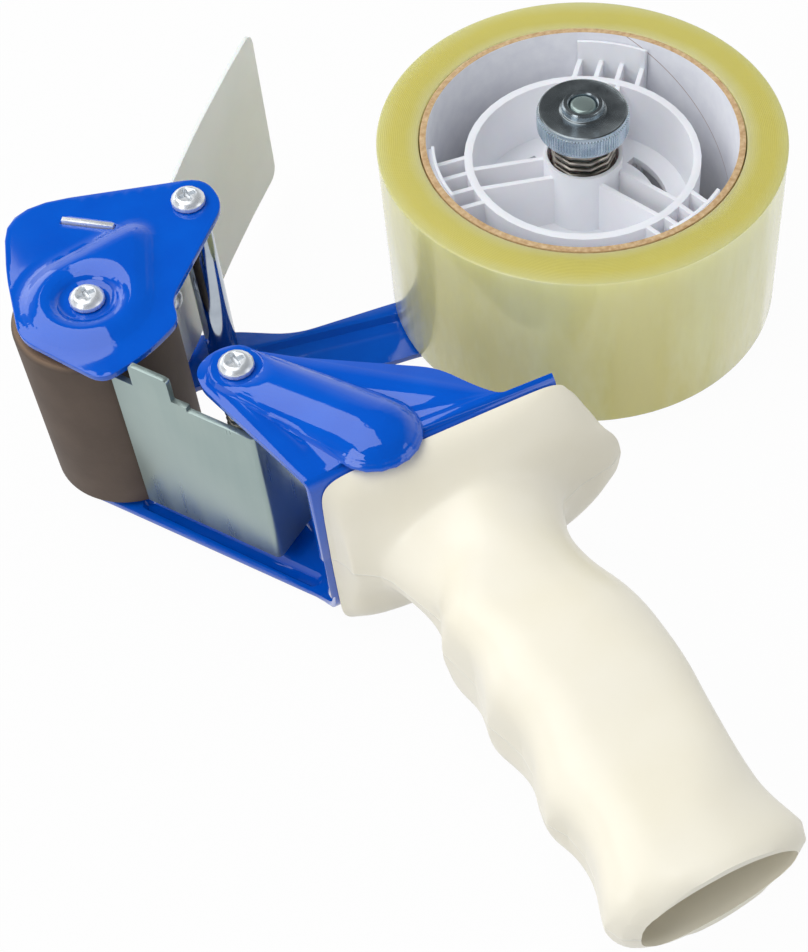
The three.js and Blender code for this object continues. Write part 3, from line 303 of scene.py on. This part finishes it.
class Finish:
    """A material with its Principled shader and short ways to add nodes to it."""

    def __init__(self, name, **sockets):
        self.material = bpy.data.materials.new(name)
        self.material.use_nodes = True
        self.tree = self.material.node_tree
        self.shader = self.tree.nodes["Principled BSDF"]
        for key, value in sockets.items():
            self.shader.inputs[key.replace("_", " ")].default_value = value
        self.place = self.add("ShaderNodeTexCoord").outputs["Object"]

    def add(self, kind, **settings):
        node = self.tree.nodes.new(kind)
        for key, value in settings.items():
            setattr(node, key, value)
        return node

    def wire(self, source, target):
        self.tree.links.new(source, target)

    def maths(self, operation, a, b=None):
        node = self.add("ShaderNodeMath", operation=operation)
        for socket, value in zip(node.inputs, (a, b)):
            if value is None:
                continue
            if isinstance(value, (int, float)):
                socket.default_value = value
            else:
                self.wire(value, socket)
        return node.outputs[0]

    def noise(self, scale, detail=3.0, stretch=(1, 1, 1), roughness=0.5):
        mapping = self.add("ShaderNodeMapping")
        mapping.inputs["Scale"].default_value = stretch
        self.wire(self.place, mapping.inputs["Vector"])
        node = self.add("ShaderNodeTexNoise")
        node.inputs["Scale"].default_value = scale
        node.inputs["Detail"].default_value = detail
        node.inputs["Roughness"].default_value = roughness
        self.wire(mapping.outputs["Vector"], node.inputs["Vector"])
        return node.outputs["Fac"]

    def ramp(self, value, low, high, out_low=0.0, out_high=1.0):
        """Maps a range of values to another one, held at its ends."""
        node = self.add("ShaderNodeMapRange", clamp=True)
        self.wire(value, node.inputs["Value"])
        sockets = {"From Min": low, "From Max": high, "To Min": out_low, "To Max": out_high}
        for key, number in sockets.items():
            node.inputs[key].default_value = number
        return node.outputs["Result"]

    def mix(self, mask, a, b):
        """Colour a where the mask is 0, colour b where it is 1."""
        node = self.add("ShaderNodeMix", data_type="RGBA")
        self.wire(mask, node.inputs[0])
        for socket, value in ((node.inputs[6], a), (node.inputs[7], b)):
            if isinstance(value, tuple):
                socket.default_value = value
            else:
                self.wire(value, socket)
        return node.outputs[2]

    def mix_value(self, mask, a, b):
        """Number a where the mask is 0, number b where it is 1."""
        return self.maths("ADD", self.maths("MULTIPLY", mask, b - a), a)

    def tone(self, value, low, high, dark, light):
        return self.mix(self.ramp(value, low, high), dark, light)

    def relief(self, height, distance, strength=1.0, normal=None):
        node = self.add("ShaderNodeBump")
        node.inputs["Strength"].default_value = strength
        node.inputs["Distance"].default_value = distance
        self.wire(height, node.inputs["Height"])
        if normal is not None:
            self.wire(normal, node.inputs["Normal"])
        return node.outputs["Normal"]

    def axis(self, name):
        node = self.add("ShaderNodeSeparateXYZ")
        self.wire(self.place, node.inputs[0])
        return node.outputs[name]

    def facing_up(self):
        """1 on faces square to Z, either way up, and 0 on upright ones."""
        geometry = self.add("ShaderNodeNewGeometry")
        node = self.add("ShaderNodeSeparateXYZ")
        self.wire(geometry.outputs["Normal"], node.inputs[0])
        return self.maths("ABSOLUTE", node.outputs["Z"])

    def radius(self, x=0.0, y=0.0):
        """Distance from an upright axis."""
        across = self.maths("SUBTRACT", self.axis("X"), x)
        along = self.maths("SUBTRACT", self.axis("Y"), y)
        squares = [self.maths("MULTIPLY", part, part) for part in (across, along)]
        return self.maths("SQRT", self.maths("ADD", *squares))

    def set(self, socket, value):
        self.wire(value, self.shader.inputs[socket])


def grain_group():
    """Fine moulded or cast grain, shared by the plastics, the rubber and the enamel."""
    group = bpy.data.node_groups.new("moulded_grain", "ShaderNodeTree")
    face = group.interface
    face.new_socket("Place", in_out="INPUT", socket_type="NodeSocketVector")
    for name, value in (("Fine scale", 1500.0), ("Broad scale", 60.0), ("Broad share", 0.3)):
        face.new_socket(name, in_out="INPUT", socket_type="NodeSocketFloat").default_value = value
    face.new_socket("Height", in_out="OUTPUT", socket_type="NodeSocketFloat")
    face.new_socket("Cloud", in_out="OUTPUT", socket_type="NodeSocketFloat")
    start = group.nodes.new("NodeGroupInput")
    end = group.nodes.new("NodeGroupOutput")
    fine = group.nodes.new("ShaderNodeTexNoise")
    broad = group.nodes.new("ShaderNodeTexNoise")
    fine.inputs["Detail"].default_value = 2.0
    broad.inputs["Detail"].default_value = 4.0
    blend = group.nodes.new("ShaderNodeMix")
    links = group.links
    links.new(start.outputs["Place"], fine.inputs["Vector"])
    links.new(start.outputs["Place"], broad.inputs["Vector"])
    links.new(start.outputs["Fine scale"], fine.inputs["Scale"])
    links.new(start.outputs["Broad scale"], broad.inputs["Scale"])
    links.new(start.outputs["Broad share"], blend.inputs[0])
    links.new(fine.outputs["Fac"], blend.inputs[2])
    links.new(broad.outputs["Fac"], blend.inputs[3])
    links.new(blend.outputs[0], end.inputs["Height"])
    links.new(broad.outputs["Fac"], end.inputs["Cloud"])
    return group


GRAIN = grain_group()


def grain(finish, fine, broad, share):
    """Height and broad cloud of the shared grain, at a finish's own scales."""
    node = finish.add("ShaderNodeGroup", node_tree=GRAIN)
    finish.wire(finish.place, node.inputs["Place"])
    node.inputs["Fine scale"].default_value = fine
    node.inputs["Broad scale"].default_value = broad
    node.inputs["Broad share"].default_value = share
    return node.outputs["Height"], node.outputs["Cloud"]


# Enamel and metals. A small third number stretches a noise along Z, as the lines of drawn metal
def blue_enamel():
    """Deep blue under a clear gloss coat that mirrors the lamps."""
    f = Finish("blue_enamel", Roughness=0.4, Specular_IOR_Level=0.0, Coat_Weight=1.0,
               Coat_Roughness=0.05, Coat_IOR=1.6)
    height, cloud = grain(f, fine=700.0, broad=90.0, share=0.65)
    f.set("Base Color", f.tone(cloud, 0.3, 0.7, colour(0, 84, 200), colour(0, 91, 208)))
    f.set("Normal", f.relief(height, 0.03 * MM, 0.3))
    return f.material


def zinc_plate():
    """Satin grey-green zinc with faint drawn lines."""
    f = Finish("zinc_plate", Metallic=0.7)
    drawn = f.noise(260.0, detail=4.0, stretch=(1, 1, 0.12))
    tone = f.maths("ADD", f.maths("MULTIPLY", drawn, 0.4), f.maths("MULTIPLY", f.noise(38.0), 0.6))
    f.set("Base Color", f.tone(tone, 0.35, 0.65, colour(150, 168, 166), colour(164, 180, 176)))
    f.set("Roughness", f.ramp(drawn, 0.3, 0.7, 0.26, 0.36))
    f.set("Normal", f.relief(f.noise(900.0, detail=2.0, stretch=(1, 1, 0.1)), 0.01 * MM, 0.4))
    return f.material


def bright_steel():
    """Bright plated steel of the screws, the rivets and the knife plate."""
    f = Finish("bright_steel", Metallic=0.55)
    f.set("Base Color", f.tone(f.noise(220.0), 0.35, 0.65, colour(224, 229, 234), colour(238, 241, 244)))
    f.set("Roughness", f.ramp(f.noise(500.0), 0.3, 0.7, 0.24, 0.34))
    return f.material


def drawn_chrome():
    """Plated rods, drawn along their length."""
    f = Finish("drawn_chrome", Metallic=1.0)
    f.set("Base Color", f.tone(f.noise(90.0), 0.3, 0.7, colour(150, 160, 172), colour(186, 194, 204)))
    f.set("Roughness", f.ramp(f.noise(60.0, detail=2.0, stretch=(1, 1, 0.1)), 0.3, 0.7, 0.1, 0.2))
    return f.material


def ground_steel():
    """Ground blade of the knife."""
    f = Finish("ground_steel", Metallic=1.0)
    lines = f.noise(1400.0, detail=2.0, stretch=(1, 1, 0.06))
    f.set("Base Color", f.tone(lines, 0.35, 0.65, colour(150, 152, 156), colour(196, 198, 202)))
    f.set("Roughness", f.ramp(lines, 0.3, 0.7, 0.22, 0.36))
    return f.material


def spring_steel():
    """Wire of the two springs, oiled and slightly brown."""
    f = Finish("spring_steel", Metallic=1.0)
    f.set("Base Color", f.tone(f.noise(400.0), 0.35, 0.65, colour(142, 136, 128), colour(180, 175, 166)))
    f.set("Roughness", f.ramp(f.noise(700.0), 0.3, 0.7, 0.26, 0.4))
    return f.material


TURNING_PITCH = 0.35 * MM


def painted_reflection_nut():
    """Top faces painted dark and the knurled rim paler and bluish, a painted reflection set by which way
    a face looks; turning lines on the top.
    """
    f = Finish("painted_reflection_nut", Metallic=0.8)
    rings = f.maths("SINE", f.maths("MULTIPLY", f.radius(), 2 * math.pi / TURNING_PITCH))
    upward = f.ramp(f.facing_up(), 0.35, 0.8)
    dark = f.tone(f.noise(160.0, detail=5.0), 0.35, 0.65, colour(104, 112, 116), colour(150, 158, 162))
    pale = f.tone(f.noise(260.0), 0.35, 0.65, colour(172, 190, 204), colour(204, 218, 228))
    # Painted reflection: faces looking up get the dark tone, upright faces the pale bluish one
    f.set("Base Color", f.mix(upward, pale, dark))
    f.set("Roughness", f.ramp(f.noise(220.0), 0.3, 0.7, 0.14, 0.22))
    f.set("Normal", f.relief(f.maths("MULTIPLY", rings, upward), 0.012 * MM, 0.6))
    return f.material


# Rubber, plastics and fibre. The roller's cut ends are paler, full and gone at these depths
# below its outer skin
ROLLER_RADIUS = 18.05 * MM
CUT_FULL = 0.85 * MM
CUT_GONE = 0.2 * MM


def roller_rubber():
    """Matt brown rubber, paler on its cut ends."""
    f = Finish("roller_rubber", Roughness=0.68)
    height, cloud = grain(f, fine=1800.0, broad=120.0, share=0.35)
    skin = f.tone(cloud, 0.3, 0.7, colour(84, 70, 60), colour(94, 79, 68))
    cut = f.ramp(f.radius(*ROLLER_AXIS), ROLLER_RADIUS - CUT_FULL, ROLLER_RADIUS - CUT_GONE, 1.0, 0.0)
    f.set("Base Color", f.mix(cut, skin, colour(128, 104, 82)))
    f.set("Normal", f.relief(height, 0.06 * MM, 0.6))
    return f.material


def hub_plastic():
    """Cool white moulding that lets a little light in."""
    f = Finish("hub_plastic", Roughness=0.42, Subsurface_Weight=0.12, Subsurface_Scale=2 * MM)
    height, cloud = grain(f, fine=1300.0, broad=70.0, share=0.25)
    f.set("Base Color", f.tone(cloud, 0.3, 0.7, colour(236, 237, 242), colour(242, 243, 247)))
    f.set("Normal", f.relief(height, 0.02 * MM, 0.5))
    return f.material


def flap_plastic():
    """Pale satin sheet of the flap."""
    f = Finish("flap_plastic", Roughness=0.4, Subsurface_Weight=0.1, Subsurface_Scale=1 * MM)
    height, cloud = grain(f, fine=1100.0, broad=45.0, share=0.4)
    f.set("Base Color", f.tone(cloud, 0.3, 0.7, colour(236, 239, 236), colour(243, 246, 243)))
    f.set("Normal", f.relief(height, 0.02 * MM, 0.4))
    return f.material


def pressed_fibre():
    """Red-brown fibre of the brake washer."""
    f = Finish("pressed_fibre", Roughness=0.8)
    f.set("Base Color", f.tone(f.noise(900.0), 0.3, 0.7, colour(112, 44, 30), colour(150, 66, 46)))
    return f.material


SEAM_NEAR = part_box("handle_half_near")[0][2]
SEAM_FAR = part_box("handle_half_far")[1][2]
SEAM_LEVEL = (SEAM_NEAR + SEAM_FAR) / 2
SEAM_HALF = 0.1 * MM


def cream_plastic():
    """Satin cream moulding with a fine raised line along the seam of its halves, which is also painted
    paler as a painted highlight.
    """
    f = Finish("cream_plastic", Roughness=0.45, Coat_Weight=0.35, Coat_Roughness=0.2)
    height, cloud = grain(f, fine=1600.0, broad=40.0, share=0.2)
    skin = f.tone(cloud, 0.3, 0.7, colour(245, 238, 217), colour(249, 243, 226))
    off_seam = f.maths("ABSOLUTE", f.maths("SUBTRACT", f.axis("Z"), SEAM_LEVEL))
    bead = f.ramp(off_seam, SEAM_HALF, 3 * SEAM_HALF, 1.0, 0.0)
    # The seam's bead is real relief, and its paler colour is a painted highlight on its ridge
    f.set("Base Color", f.mix(bead, skin, colour(255, 251, 238)))
    beaded = f.relief(bead, 0.2 * MM, 0.6)
    f.set("Normal", f.relief(height, 0.03 * MM, 0.5, beaded))
    return f.material


# Card and film of the roll. The white liner gives way to kraft between two depths from the bore.
# Its joint climbs by the pitch, in metres a turn, with its phase and half its width in turns
CORE_BORE = 38.1 * MM
CORE_RIM = 39.7 * MM
LINER_FROM = 0.25 * MM
LINER_TO = 0.5 * MM
LINER_PITCH = 0.134
LINER_PHASE = 0.2125
LINER_JOINT = 0.0014


def wound_card():
    """Kraft card on its edges, with a white liner inside crossed by a fine spiral joint."""
    f = Finish("wound_card", Roughness=0.75)
    fibres = f.noise(900.0, detail=4.0, stretch=(1, 1, 4))
    kraft = f.tone(fibres, 0.3, 0.7, colour(182, 144, 100), colour(216, 188, 146))
    around = f.maths("ARCTAN2", f.axis("Y"), f.axis("X"))
    rise = f.maths("MULTIPLY", f.axis("Z"), 1 / LINER_PITCH)
    turns = f.maths("DIVIDE", around, 2 * math.pi)
    climb = f.maths("ADD", f.maths("SUBTRACT", rise, turns), LINER_PHASE)
    off_joint = f.maths("ABSOLUTE", f.maths("SUBTRACT", f.maths("FRACT", climb), 0.5))
    joint = f.ramp(off_joint, 0.0, LINER_JOINT, 1.0, 0.0)
    liner = f.tone(f.noise(300.0, detail=4.0), 0.3, 0.7, colour(232, 233, 240), colour(240, 241, 246))
    inside = f.mix(joint, liner, colour(150, 108, 84))
    wall = f.ramp(f.radius(), CORE_BORE + LINER_FROM, CORE_BORE + LINER_TO)
    edge = f.maths("MAXIMUM", wall, f.ramp(f.facing_up(), 0.4, 0.6))
    f.set("Base Color", f.mix(edge, inside, kraft))
    f.set("Normal", f.relief(fibres, 0.1 * MM, 0.4))
    return f.material


FILM_BORE = 40 * MM
FILM_RIM = 50.15 * MM
FILM_PITCH = 0.45 * MM
# The film's side grows paler between two heights: painted light, paler towards the top and darker
# towards the bottom
PALE_FROM = 8 * MM
PALE_TO = 50 * MM


def wound_film():
    """Clear film wound on itself: straw tinted ends with fine layers, glassy outside."""
    f = Finish("wound_film", Coat_Roughness=0.08, Subsurface_Weight=0.5, Subsurface_Scale=12 * MM,
               Subsurface_Radius=(1.0, 0.95, 0.5))
    reach = f.radius()
    end = f.ramp(f.facing_up(), 0.4, 0.8)

    wander = f.maths("MULTIPLY", f.maths("SUBTRACT", f.noise(30.0, detail=4.0), 0.5), 0.6)
    across = f.maths("ADD", f.ramp(reach, FILM_BORE, FILM_RIM), wander)
    inward = f.tone(across, 0.0, 0.3, colour(212, 206, 138), colour(204, 194, 98))
    face = f.mix(f.ramp(across, 0.62, 1.05), inward, colour(204, 200, 138))

    blotch = f.noise(24.0, detail=5.0, stretch=(1, 1, 0.35), roughness=0.6)
    side = f.tone(blotch, 0.42, 0.6, colour(226, 215, 116), colour(242, 239, 174))
    # Painted light and shade: the side is painted paler towards the top
    level = f.ramp(f.axis("Z"), PALE_FROM, PALE_TO)
    side = f.mix(f.maths("MULTIPLY", level, 0.6), side, colour(240, 238, 182))
    f.set("Base Color", f.mix(end, side, face))

    streak = f.ramp(f.noise(90.0, detail=4.0, stretch=(1, 1, 0.12)), 0.42, 0.6)
    f.set("Roughness", f.mix_value(end, 0.24, 0.45))
    f.set("Coat Weight", f.mix_value(f.maths("MAXIMUM", streak, end), 1.0, 0.4))

    layers = f.maths("SINE", f.maths("MULTIPLY", reach, 2 * math.pi / FILM_PITCH))
    crumple = f.maths("MULTIPLY", f.noise(260.0, stretch=(1, 1, 0.3)), 0.16)
    ripple = f.maths("ADD", f.noise(42.0, detail=4.0, stretch=(1, 1, 0.45)), crumple)
    height = f.maths("ADD", f.maths("MULTIPLY", layers, f.maths("MULTIPLY", end, 0.025)), ripple)
    f.set("Normal", f.relief(height, 1.2 * MM, 0.6))
    return f.material


ENAMEL = blue_enamel()
ZINC = zinc_plate()
STEEL = bright_steel()
CHROME = drawn_chrome()
GROUND = ground_steel()
SPRING = spring_steel()
NUT = painted_reflection_nut()
RUBBER = roller_rubber()
HUB = hub_plastic()
FLAP = flap_plastic()
CREAM = cream_plastic()
FIBRE = pressed_fibre()
CARD = wound_card()
FILM = wound_film()

# Roundings of edges, from the knife's to those of turned parts, and how far the rib and the
# plate's pressed forms flow into their sheets
EDGE_KEEN = 0.08 * MM
EDGE_FINE = 0.1 * MM
EDGE_SCREW = 0.15 * MM
EDGE_SMALL = 0.2 * MM
EDGE_SHEET = 0.25 * MM
EDGE_TURNED = 0.3 * MM
RIB_BLUR = 1.4 * MM
PLATE_BLUR = 1.7 * MM


def pressed_steel():
    """The frame and the near plate, their pressed forms flowing softly out of the sheet."""
    low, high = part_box("front_side_plate")
    near_face = low[2] + SHEET
    shell = from_node("side_frame", "enamelled_frame", ENAMEL, EDGE_SHEET, smooth=48)
    press_softly(shell, RIB_LOW, RIB_HIGH, near_face, RIB_BLUR, [(*PIVOT_AXIS, PIVOT_SEAT)])
    plate = from_node("front_side_plate", "enamelled_plate", ENAMEL, EDGE_SHEET, angle=50, smooth=44)
    press_softly(plate, low, high, near_face, PLATE_BLUR, [(*ROLLER_AXIS, ROLLER_SEAT)])


def rods_and_screws():
    for node in ("roller_shaft", "guide_rod", "guard_pivot_rod"):
        from_node(node, node + "_drawn", CHROME, EDGE_SMALL)
    screws = [f"{axle}_screw_{side}" for side in ("near", "far") for axle in ("roller", "rod", "pivot")]
    for node in screws + ["handle_bolt_front", "handle_bolt_rear"]:
        from_node(node, node + "_head", STEEL, EDGE_SCREW, angle=40, smooth=50)


def guard_and_knife():
    from_node("front_guard", "zinc_guard", ZINC, EDGE_SMALL)
    from_node("guard_spring", "guard_spring_wire", SPRING, smooth=80, flat=0)
    from_node("knife_plate", "zinc_knife_plate", STEEL, EDGE_SCREW)
    from_node("knife", "ground_knife", GROUND, EDGE_KEEN, segments=1)
    from_node("tape_flap", "flap_tongue", FLAP, EDGE_FINE)
    for node in ("knife_rivet_1", "knife_rivet_2", "flap_rivet_1", "flap_rivet_2"):
        from_node(node, node + "_head", STEEL, EDGE_FINE)


def hub_and_spring():
    """The hub on its stud, and the spring, which stretches between the frame and its washer."""
    from_node("hub_stud", "turned_stud", ZINC, EDGE_TURNED)
    from_node("hub_lock_nut", "lock_nut_hexagon", STEEL, EDGE_TURNED)
    from_node("hub_washer", "fibre_washer", FIBRE, EDGE_FINE)
    from_node("tape_hub", "moulded_hub", HUB, EDGE_SMALL)
    from_node("spring_washer", "spring_washer_disc", STEEL, EDGE_FINE)
    wire = from_node("tension_spring", "tension_spring_wire", SPRING, smooth=80, flat=0, rides=False)
    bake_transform(wire)


# Tension nut
NUT_BORE = 3.55 * MM
NUT_EASE = 0.9 * MM
COLLAR_RADIUS = 5.2 * MM
COLLAR_HEIGHT = 1.6 * MM
KNURLS = 90
KNURL_STEPS = 4
KNURL_DEPTH = 0.3 * MM


def knurled_nut():
    """A turned nut with a sunk face and a collar, whose rim rows step in and out."""
    low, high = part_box("tension_nut")
    rim = (high[0] - low[0]) / 2
    face = high[2] - COLLAR_HEIGHT
    ease = NUT_EASE
    nut = spun("knurled_nut", [
        (NUT_BORE, low[2]),
        (rim - ease, low[2]),
        (rim - ease / 3, low[2] + ease / 4),
        (rim - ease / 3, low[2] + ease * 2 / 3),
        (rim, low[2] + ease),
        (rim, face - ease * 1.3),
        (rim - ease / 3, face - ease),
        (rim - ease / 2.4, face - ease / 5),
        (rim - ease * 0.8, face),
        (rim - ease * 1.3, face - ease / 6),
        (COLLAR_RADIUS + ease * 0.6, face - ease / 6),
        (COLLAR_RADIUS, face + ease * 0.3),
        (COLLAR_RADIUS - ease * 0.2, high[2] - ease * 0.4),
        (COLLAR_RADIUS - ease * 0.6, high[2]),
        (NUT_BORE + ease * 0.3, high[2]),
        (NUT_BORE, high[2] - ease * 0.3),
    ], HUB_AXIS, KNURLS * KNURL_STEPS)
    for vertex in nut.data.vertices:
        reach = math.hypot(vertex.co.x, vertex.co.y)
        turned = math.atan2(vertex.co.y, vertex.co.x) / (2 * math.pi)
        step = round(turned * KNURLS * KNURL_STEPS) % KNURL_STEPS
        if reach > rim - ease / 6 and step < KNURL_STEPS / 2:
            vertex.co.xy *= (rim - KNURL_DEPTH) / reach
    soften(nut, 0.0, smooth=24)
    adopt(nut, "tension_nut", NUT)


# Roller
ROLLER_BORE = 15 * MM
ROLLER_END = 17.2 * MM
ROLLER_CHAMFER = 0.9 * MM
ROLLER_EASE = 0.35 * MM


def roller():
    """The rubber sleeve, chamfered at both ends, on its moulded core."""
    from_node("roller_core", "roller_core_moulded", HUB, EDGE_SMALL)
    low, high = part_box("roller_sleeve")
    sleeve = spun("rubber_sleeve", rounded_profile([
        (ROLLER_BORE, low[2]), (ROLLER_END, low[2]), (ROLLER_RADIUS, low[2] + ROLLER_CHAMFER),
        (ROLLER_RADIUS, high[2] - ROLLER_CHAMFER), (ROLLER_END, high[2]), (ROLLER_BORE, high[2]),
    ], ROLLER_EASE, 3), ROLLER_AXIS, 96)
    soften(sleeve, 0.0)
    adopt(sleeve, "roller_sleeve", RUBBER)


# Roll of tape
CORE_EASE = 0.2 * MM
FILM_EASE = 0.45 * MM


def roll_of_tape():
    """The card core and the film wound on it."""
    card = square_ring(*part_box("tape_core"), CORE_BORE, CORE_RIM)
    core = spun("card_core", rounded_profile(card, CORE_EASE, 2), HUB_AXIS, 160)
    soften(core, 0.0)
    adopt(core, "tape_core", CARD)
    film = square_ring(*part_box("tape_roll"), FILM_BORE, FILM_RIM)
    roll = spun("film_roll", rounded_profile(film, FILM_EASE), HUB_AXIS, 192)
    soften(roll, 0.0)
    adopt(roll, "tape_roll", FILM)


# Grip: the angles up to which facets may fold and skew to become quads, the angle above which
# an edge stays sharp, the finer levels, the shading angle, how near the seam a point counts as
# on it, and the share of its gap that each half closes
QUAD_FOLD = 55
QUAD_SKEW = 70
GRIP_CREASE = 50
GRIP_LEVELS = 2
GRIP_SMOOTH = 40
SEAM_REACH = 0.02 * MM
SEAM_CLOSING = 0.44


def grip_half(node, name, seam, shift):
    """A moulded half: its seam shifted, its facets turned to quads and made finer."""
    piece = from_node(node, name, CREAM, flat=0.0)
    for vertex in piece.data.vertices:
        if abs(vertex.co.z - seam) < SEAM_REACH:
            vertex.co.z += shift
    edit_whole(piece)
    bpy.ops.mesh.tris_convert_to_quads(
        face_threshold=math.radians(QUAD_FOLD), shape_threshold=math.radians(QUAD_SKEW))
    bpy.ops.object.mode_set(mode="OBJECT")
    form = bmesh.new()
    form.from_mesh(piece.data)
    held = form.edges.layers.float.get("crease_edge") or form.edges.layers.float.new("crease_edge")
    for edge in form.edges:
        if len(edge.link_faces) == 2 and edge.calc_face_angle(0.0) > math.radians(GRIP_CREASE):
            edge[held] = 1.0
    form.to_mesh(piece.data)
    form.free()
    finer = piece.modifiers.new("finer", "SUBSURF")
    finer.levels = GRIP_LEVELS
    finer.render_levels = GRIP_LEVELS
    apply_all(piece)
    shade_smooth(piece, GRIP_SMOOTH)


def grip():
    """Both halves, drawn up to each other at the seam."""
    closing = (SEAM_NEAR - SEAM_FAR) * SEAM_CLOSING
    grip_half("handle_half_near", "grip_near", SEAM_NEAR, -closing)
    grip_half("handle_half_far", "grip_far", SEAM_FAR, closing)


pressed_steel()
rods_and_screws()
roller()
guard_and_knife()
hub_and_spring()
knurled_nut()
roll_of_tape()
grip()

# Studio: grey paper and a soft world, which both look white to the camera and in mirrors
PAPER_SIZE = 6.0
PAPER_GREY = 0.6
PAPER_ROUGHNESS = 0.9
PAPER_GLOW = 0.97
AMBIENT = 0.47
AMBIENT_TINT = (0.94, 0.97, 1.0, 1)
HORIZON_GLOW = 1.0
ZENITH_GLOW = 0.06
GLOW_FROM = 0.1
GLOW_TO = 0.6


def backdrop_rays(tree):
    """1 where a ray from the camera, a mirror or a clear body meets the backdrop."""
    path = tree.nodes.new("ShaderNodeLightPath")
    found = path.outputs["Is Camera Ray"]
    for kind in ("Is Glossy Ray", "Is Transmission Ray"):
        either = tree.nodes.new("ShaderNodeMath")
        either.operation = "MAXIMUM"
        tree.links.new(found, either.inputs[0])
        tree.links.new(path.outputs[kind], either.inputs[1])
        found = either.outputs[0]
    return found


def show_either(tree, mask, first, second, output):
    """Sends the first shader to the output where the mask is 0, the second where it is 1."""
    blend = tree.nodes.new("ShaderNodeMixShader")
    for source, socket in zip((mask, first.outputs[0], second.outputs[0]), blend.inputs):
        tree.links.new(source, socket)
    tree.links.new(blend.outputs[0], tree.nodes[output].inputs["Surface"])


def studio_floor():
    """Paper that is grey under the object's light and nearly white to the camera."""
    bpy.ops.mesh.primitive_plane_add(size=PAPER_SIZE, location=(0, 0, 0))
    floor = bpy.context.object
    floor.name = "studio_floor"
    paper = bpy.data.materials.new("studio_paper")
    paper.use_nodes = True
    tree = paper.node_tree
    matt = tree.nodes["Principled BSDF"]
    matt.inputs["Base Color"].default_value = (PAPER_GREY, PAPER_GREY, PAPER_GREY, 1)
    matt.inputs["Roughness"].default_value = PAPER_ROUGHNESS
    glow = tree.nodes.new("ShaderNodeEmission")
    seen = tree.nodes.new("ShaderNodeMath")
    seen.operation = "MULTIPLY"
    seen.inputs[1].default_value = PAPER_GLOW
    tree.links.new(backdrop_rays(tree), seen.inputs[0])
    show_either(tree, seen.outputs[0], matt, glow, "Material Output")
    floor.data.materials.append(paper)


def studio_world():
    """An even ambient light, seen as a white that fades from the horizon up."""
    world = bpy.data.worlds.new("studio")
    bpy.context.scene.world = world
    world.use_nodes = True
    tree = world.node_tree
    ambient = tree.nodes["Background"]
    ambient.inputs["Color"].default_value = AMBIENT_TINT
    ambient.inputs["Strength"].default_value = AMBIENT
    white = tree.nodes.new("ShaderNodeBackground")
    white.inputs["Color"].default_value = (1, 1, 1, 1)
    direction = tree.nodes.new("ShaderNodeTexCoord")
    height = tree.nodes.new("ShaderNodeSeparateXYZ")
    fade = tree.nodes.new("ShaderNodeMapRange")
    fade.inputs["From Min"].default_value = GLOW_FROM
    fade.inputs["From Max"].default_value = GLOW_TO
    fade.inputs["To Min"].default_value = HORIZON_GLOW
    fade.inputs["To Max"].default_value = ZENITH_GLOW
    tree.links.new(direction.outputs["Generated"], height.inputs[0])
    tree.links.new(height.outputs["Z"], fade.inputs["Value"])
    tree.links.new(fade.outputs["Result"], white.inputs["Strength"])
    show_either(tree, backdrop_rays(tree), ambient, white, "World Output")


def softbox(name, place, aim, size, power):
    """A rectangular lamp of so many watts at a place, turned towards its aim."""
    data = bpy.data.lights.new(name, "AREA")
    data.shape = "RECTANGLE"
    data.size, data.size_y = size
    data.energy = power
    lamp = bpy.data.objects.new(name, data)
    bpy.context.scene.collection.objects.link(lamp)
    lamp.location = place
    lamp.rotation_euler = (Vector(aim) - Vector(place)).to_track_quat("-Z", "Y").to_euler()


studio_floor()
studio_world()
softbox("overhead_softbox", (-0.53, 0.5, 1.25), (-0.53, 0.5, 0.0), (1.13, 1.7), 13.0)
softbox("left_softbox", (-1.1, -0.3, 0.75), (-0.03, 0.0, 0.03), (0.6, 0.6), 3.4)
softbox("right_softbox", (0.85, -0.95, 0.55), (-0.05, -0.05, 0.03), (0.7, 0.6), 1.6)
softbox("rim_softbox", (-0.5, 1.15, 0.45), (-0.05, 0.0, 0.03), (0.9, 0.4), 1.6)

scene = bpy.context.scene
scene.view_settings.view_transform = "Standard"
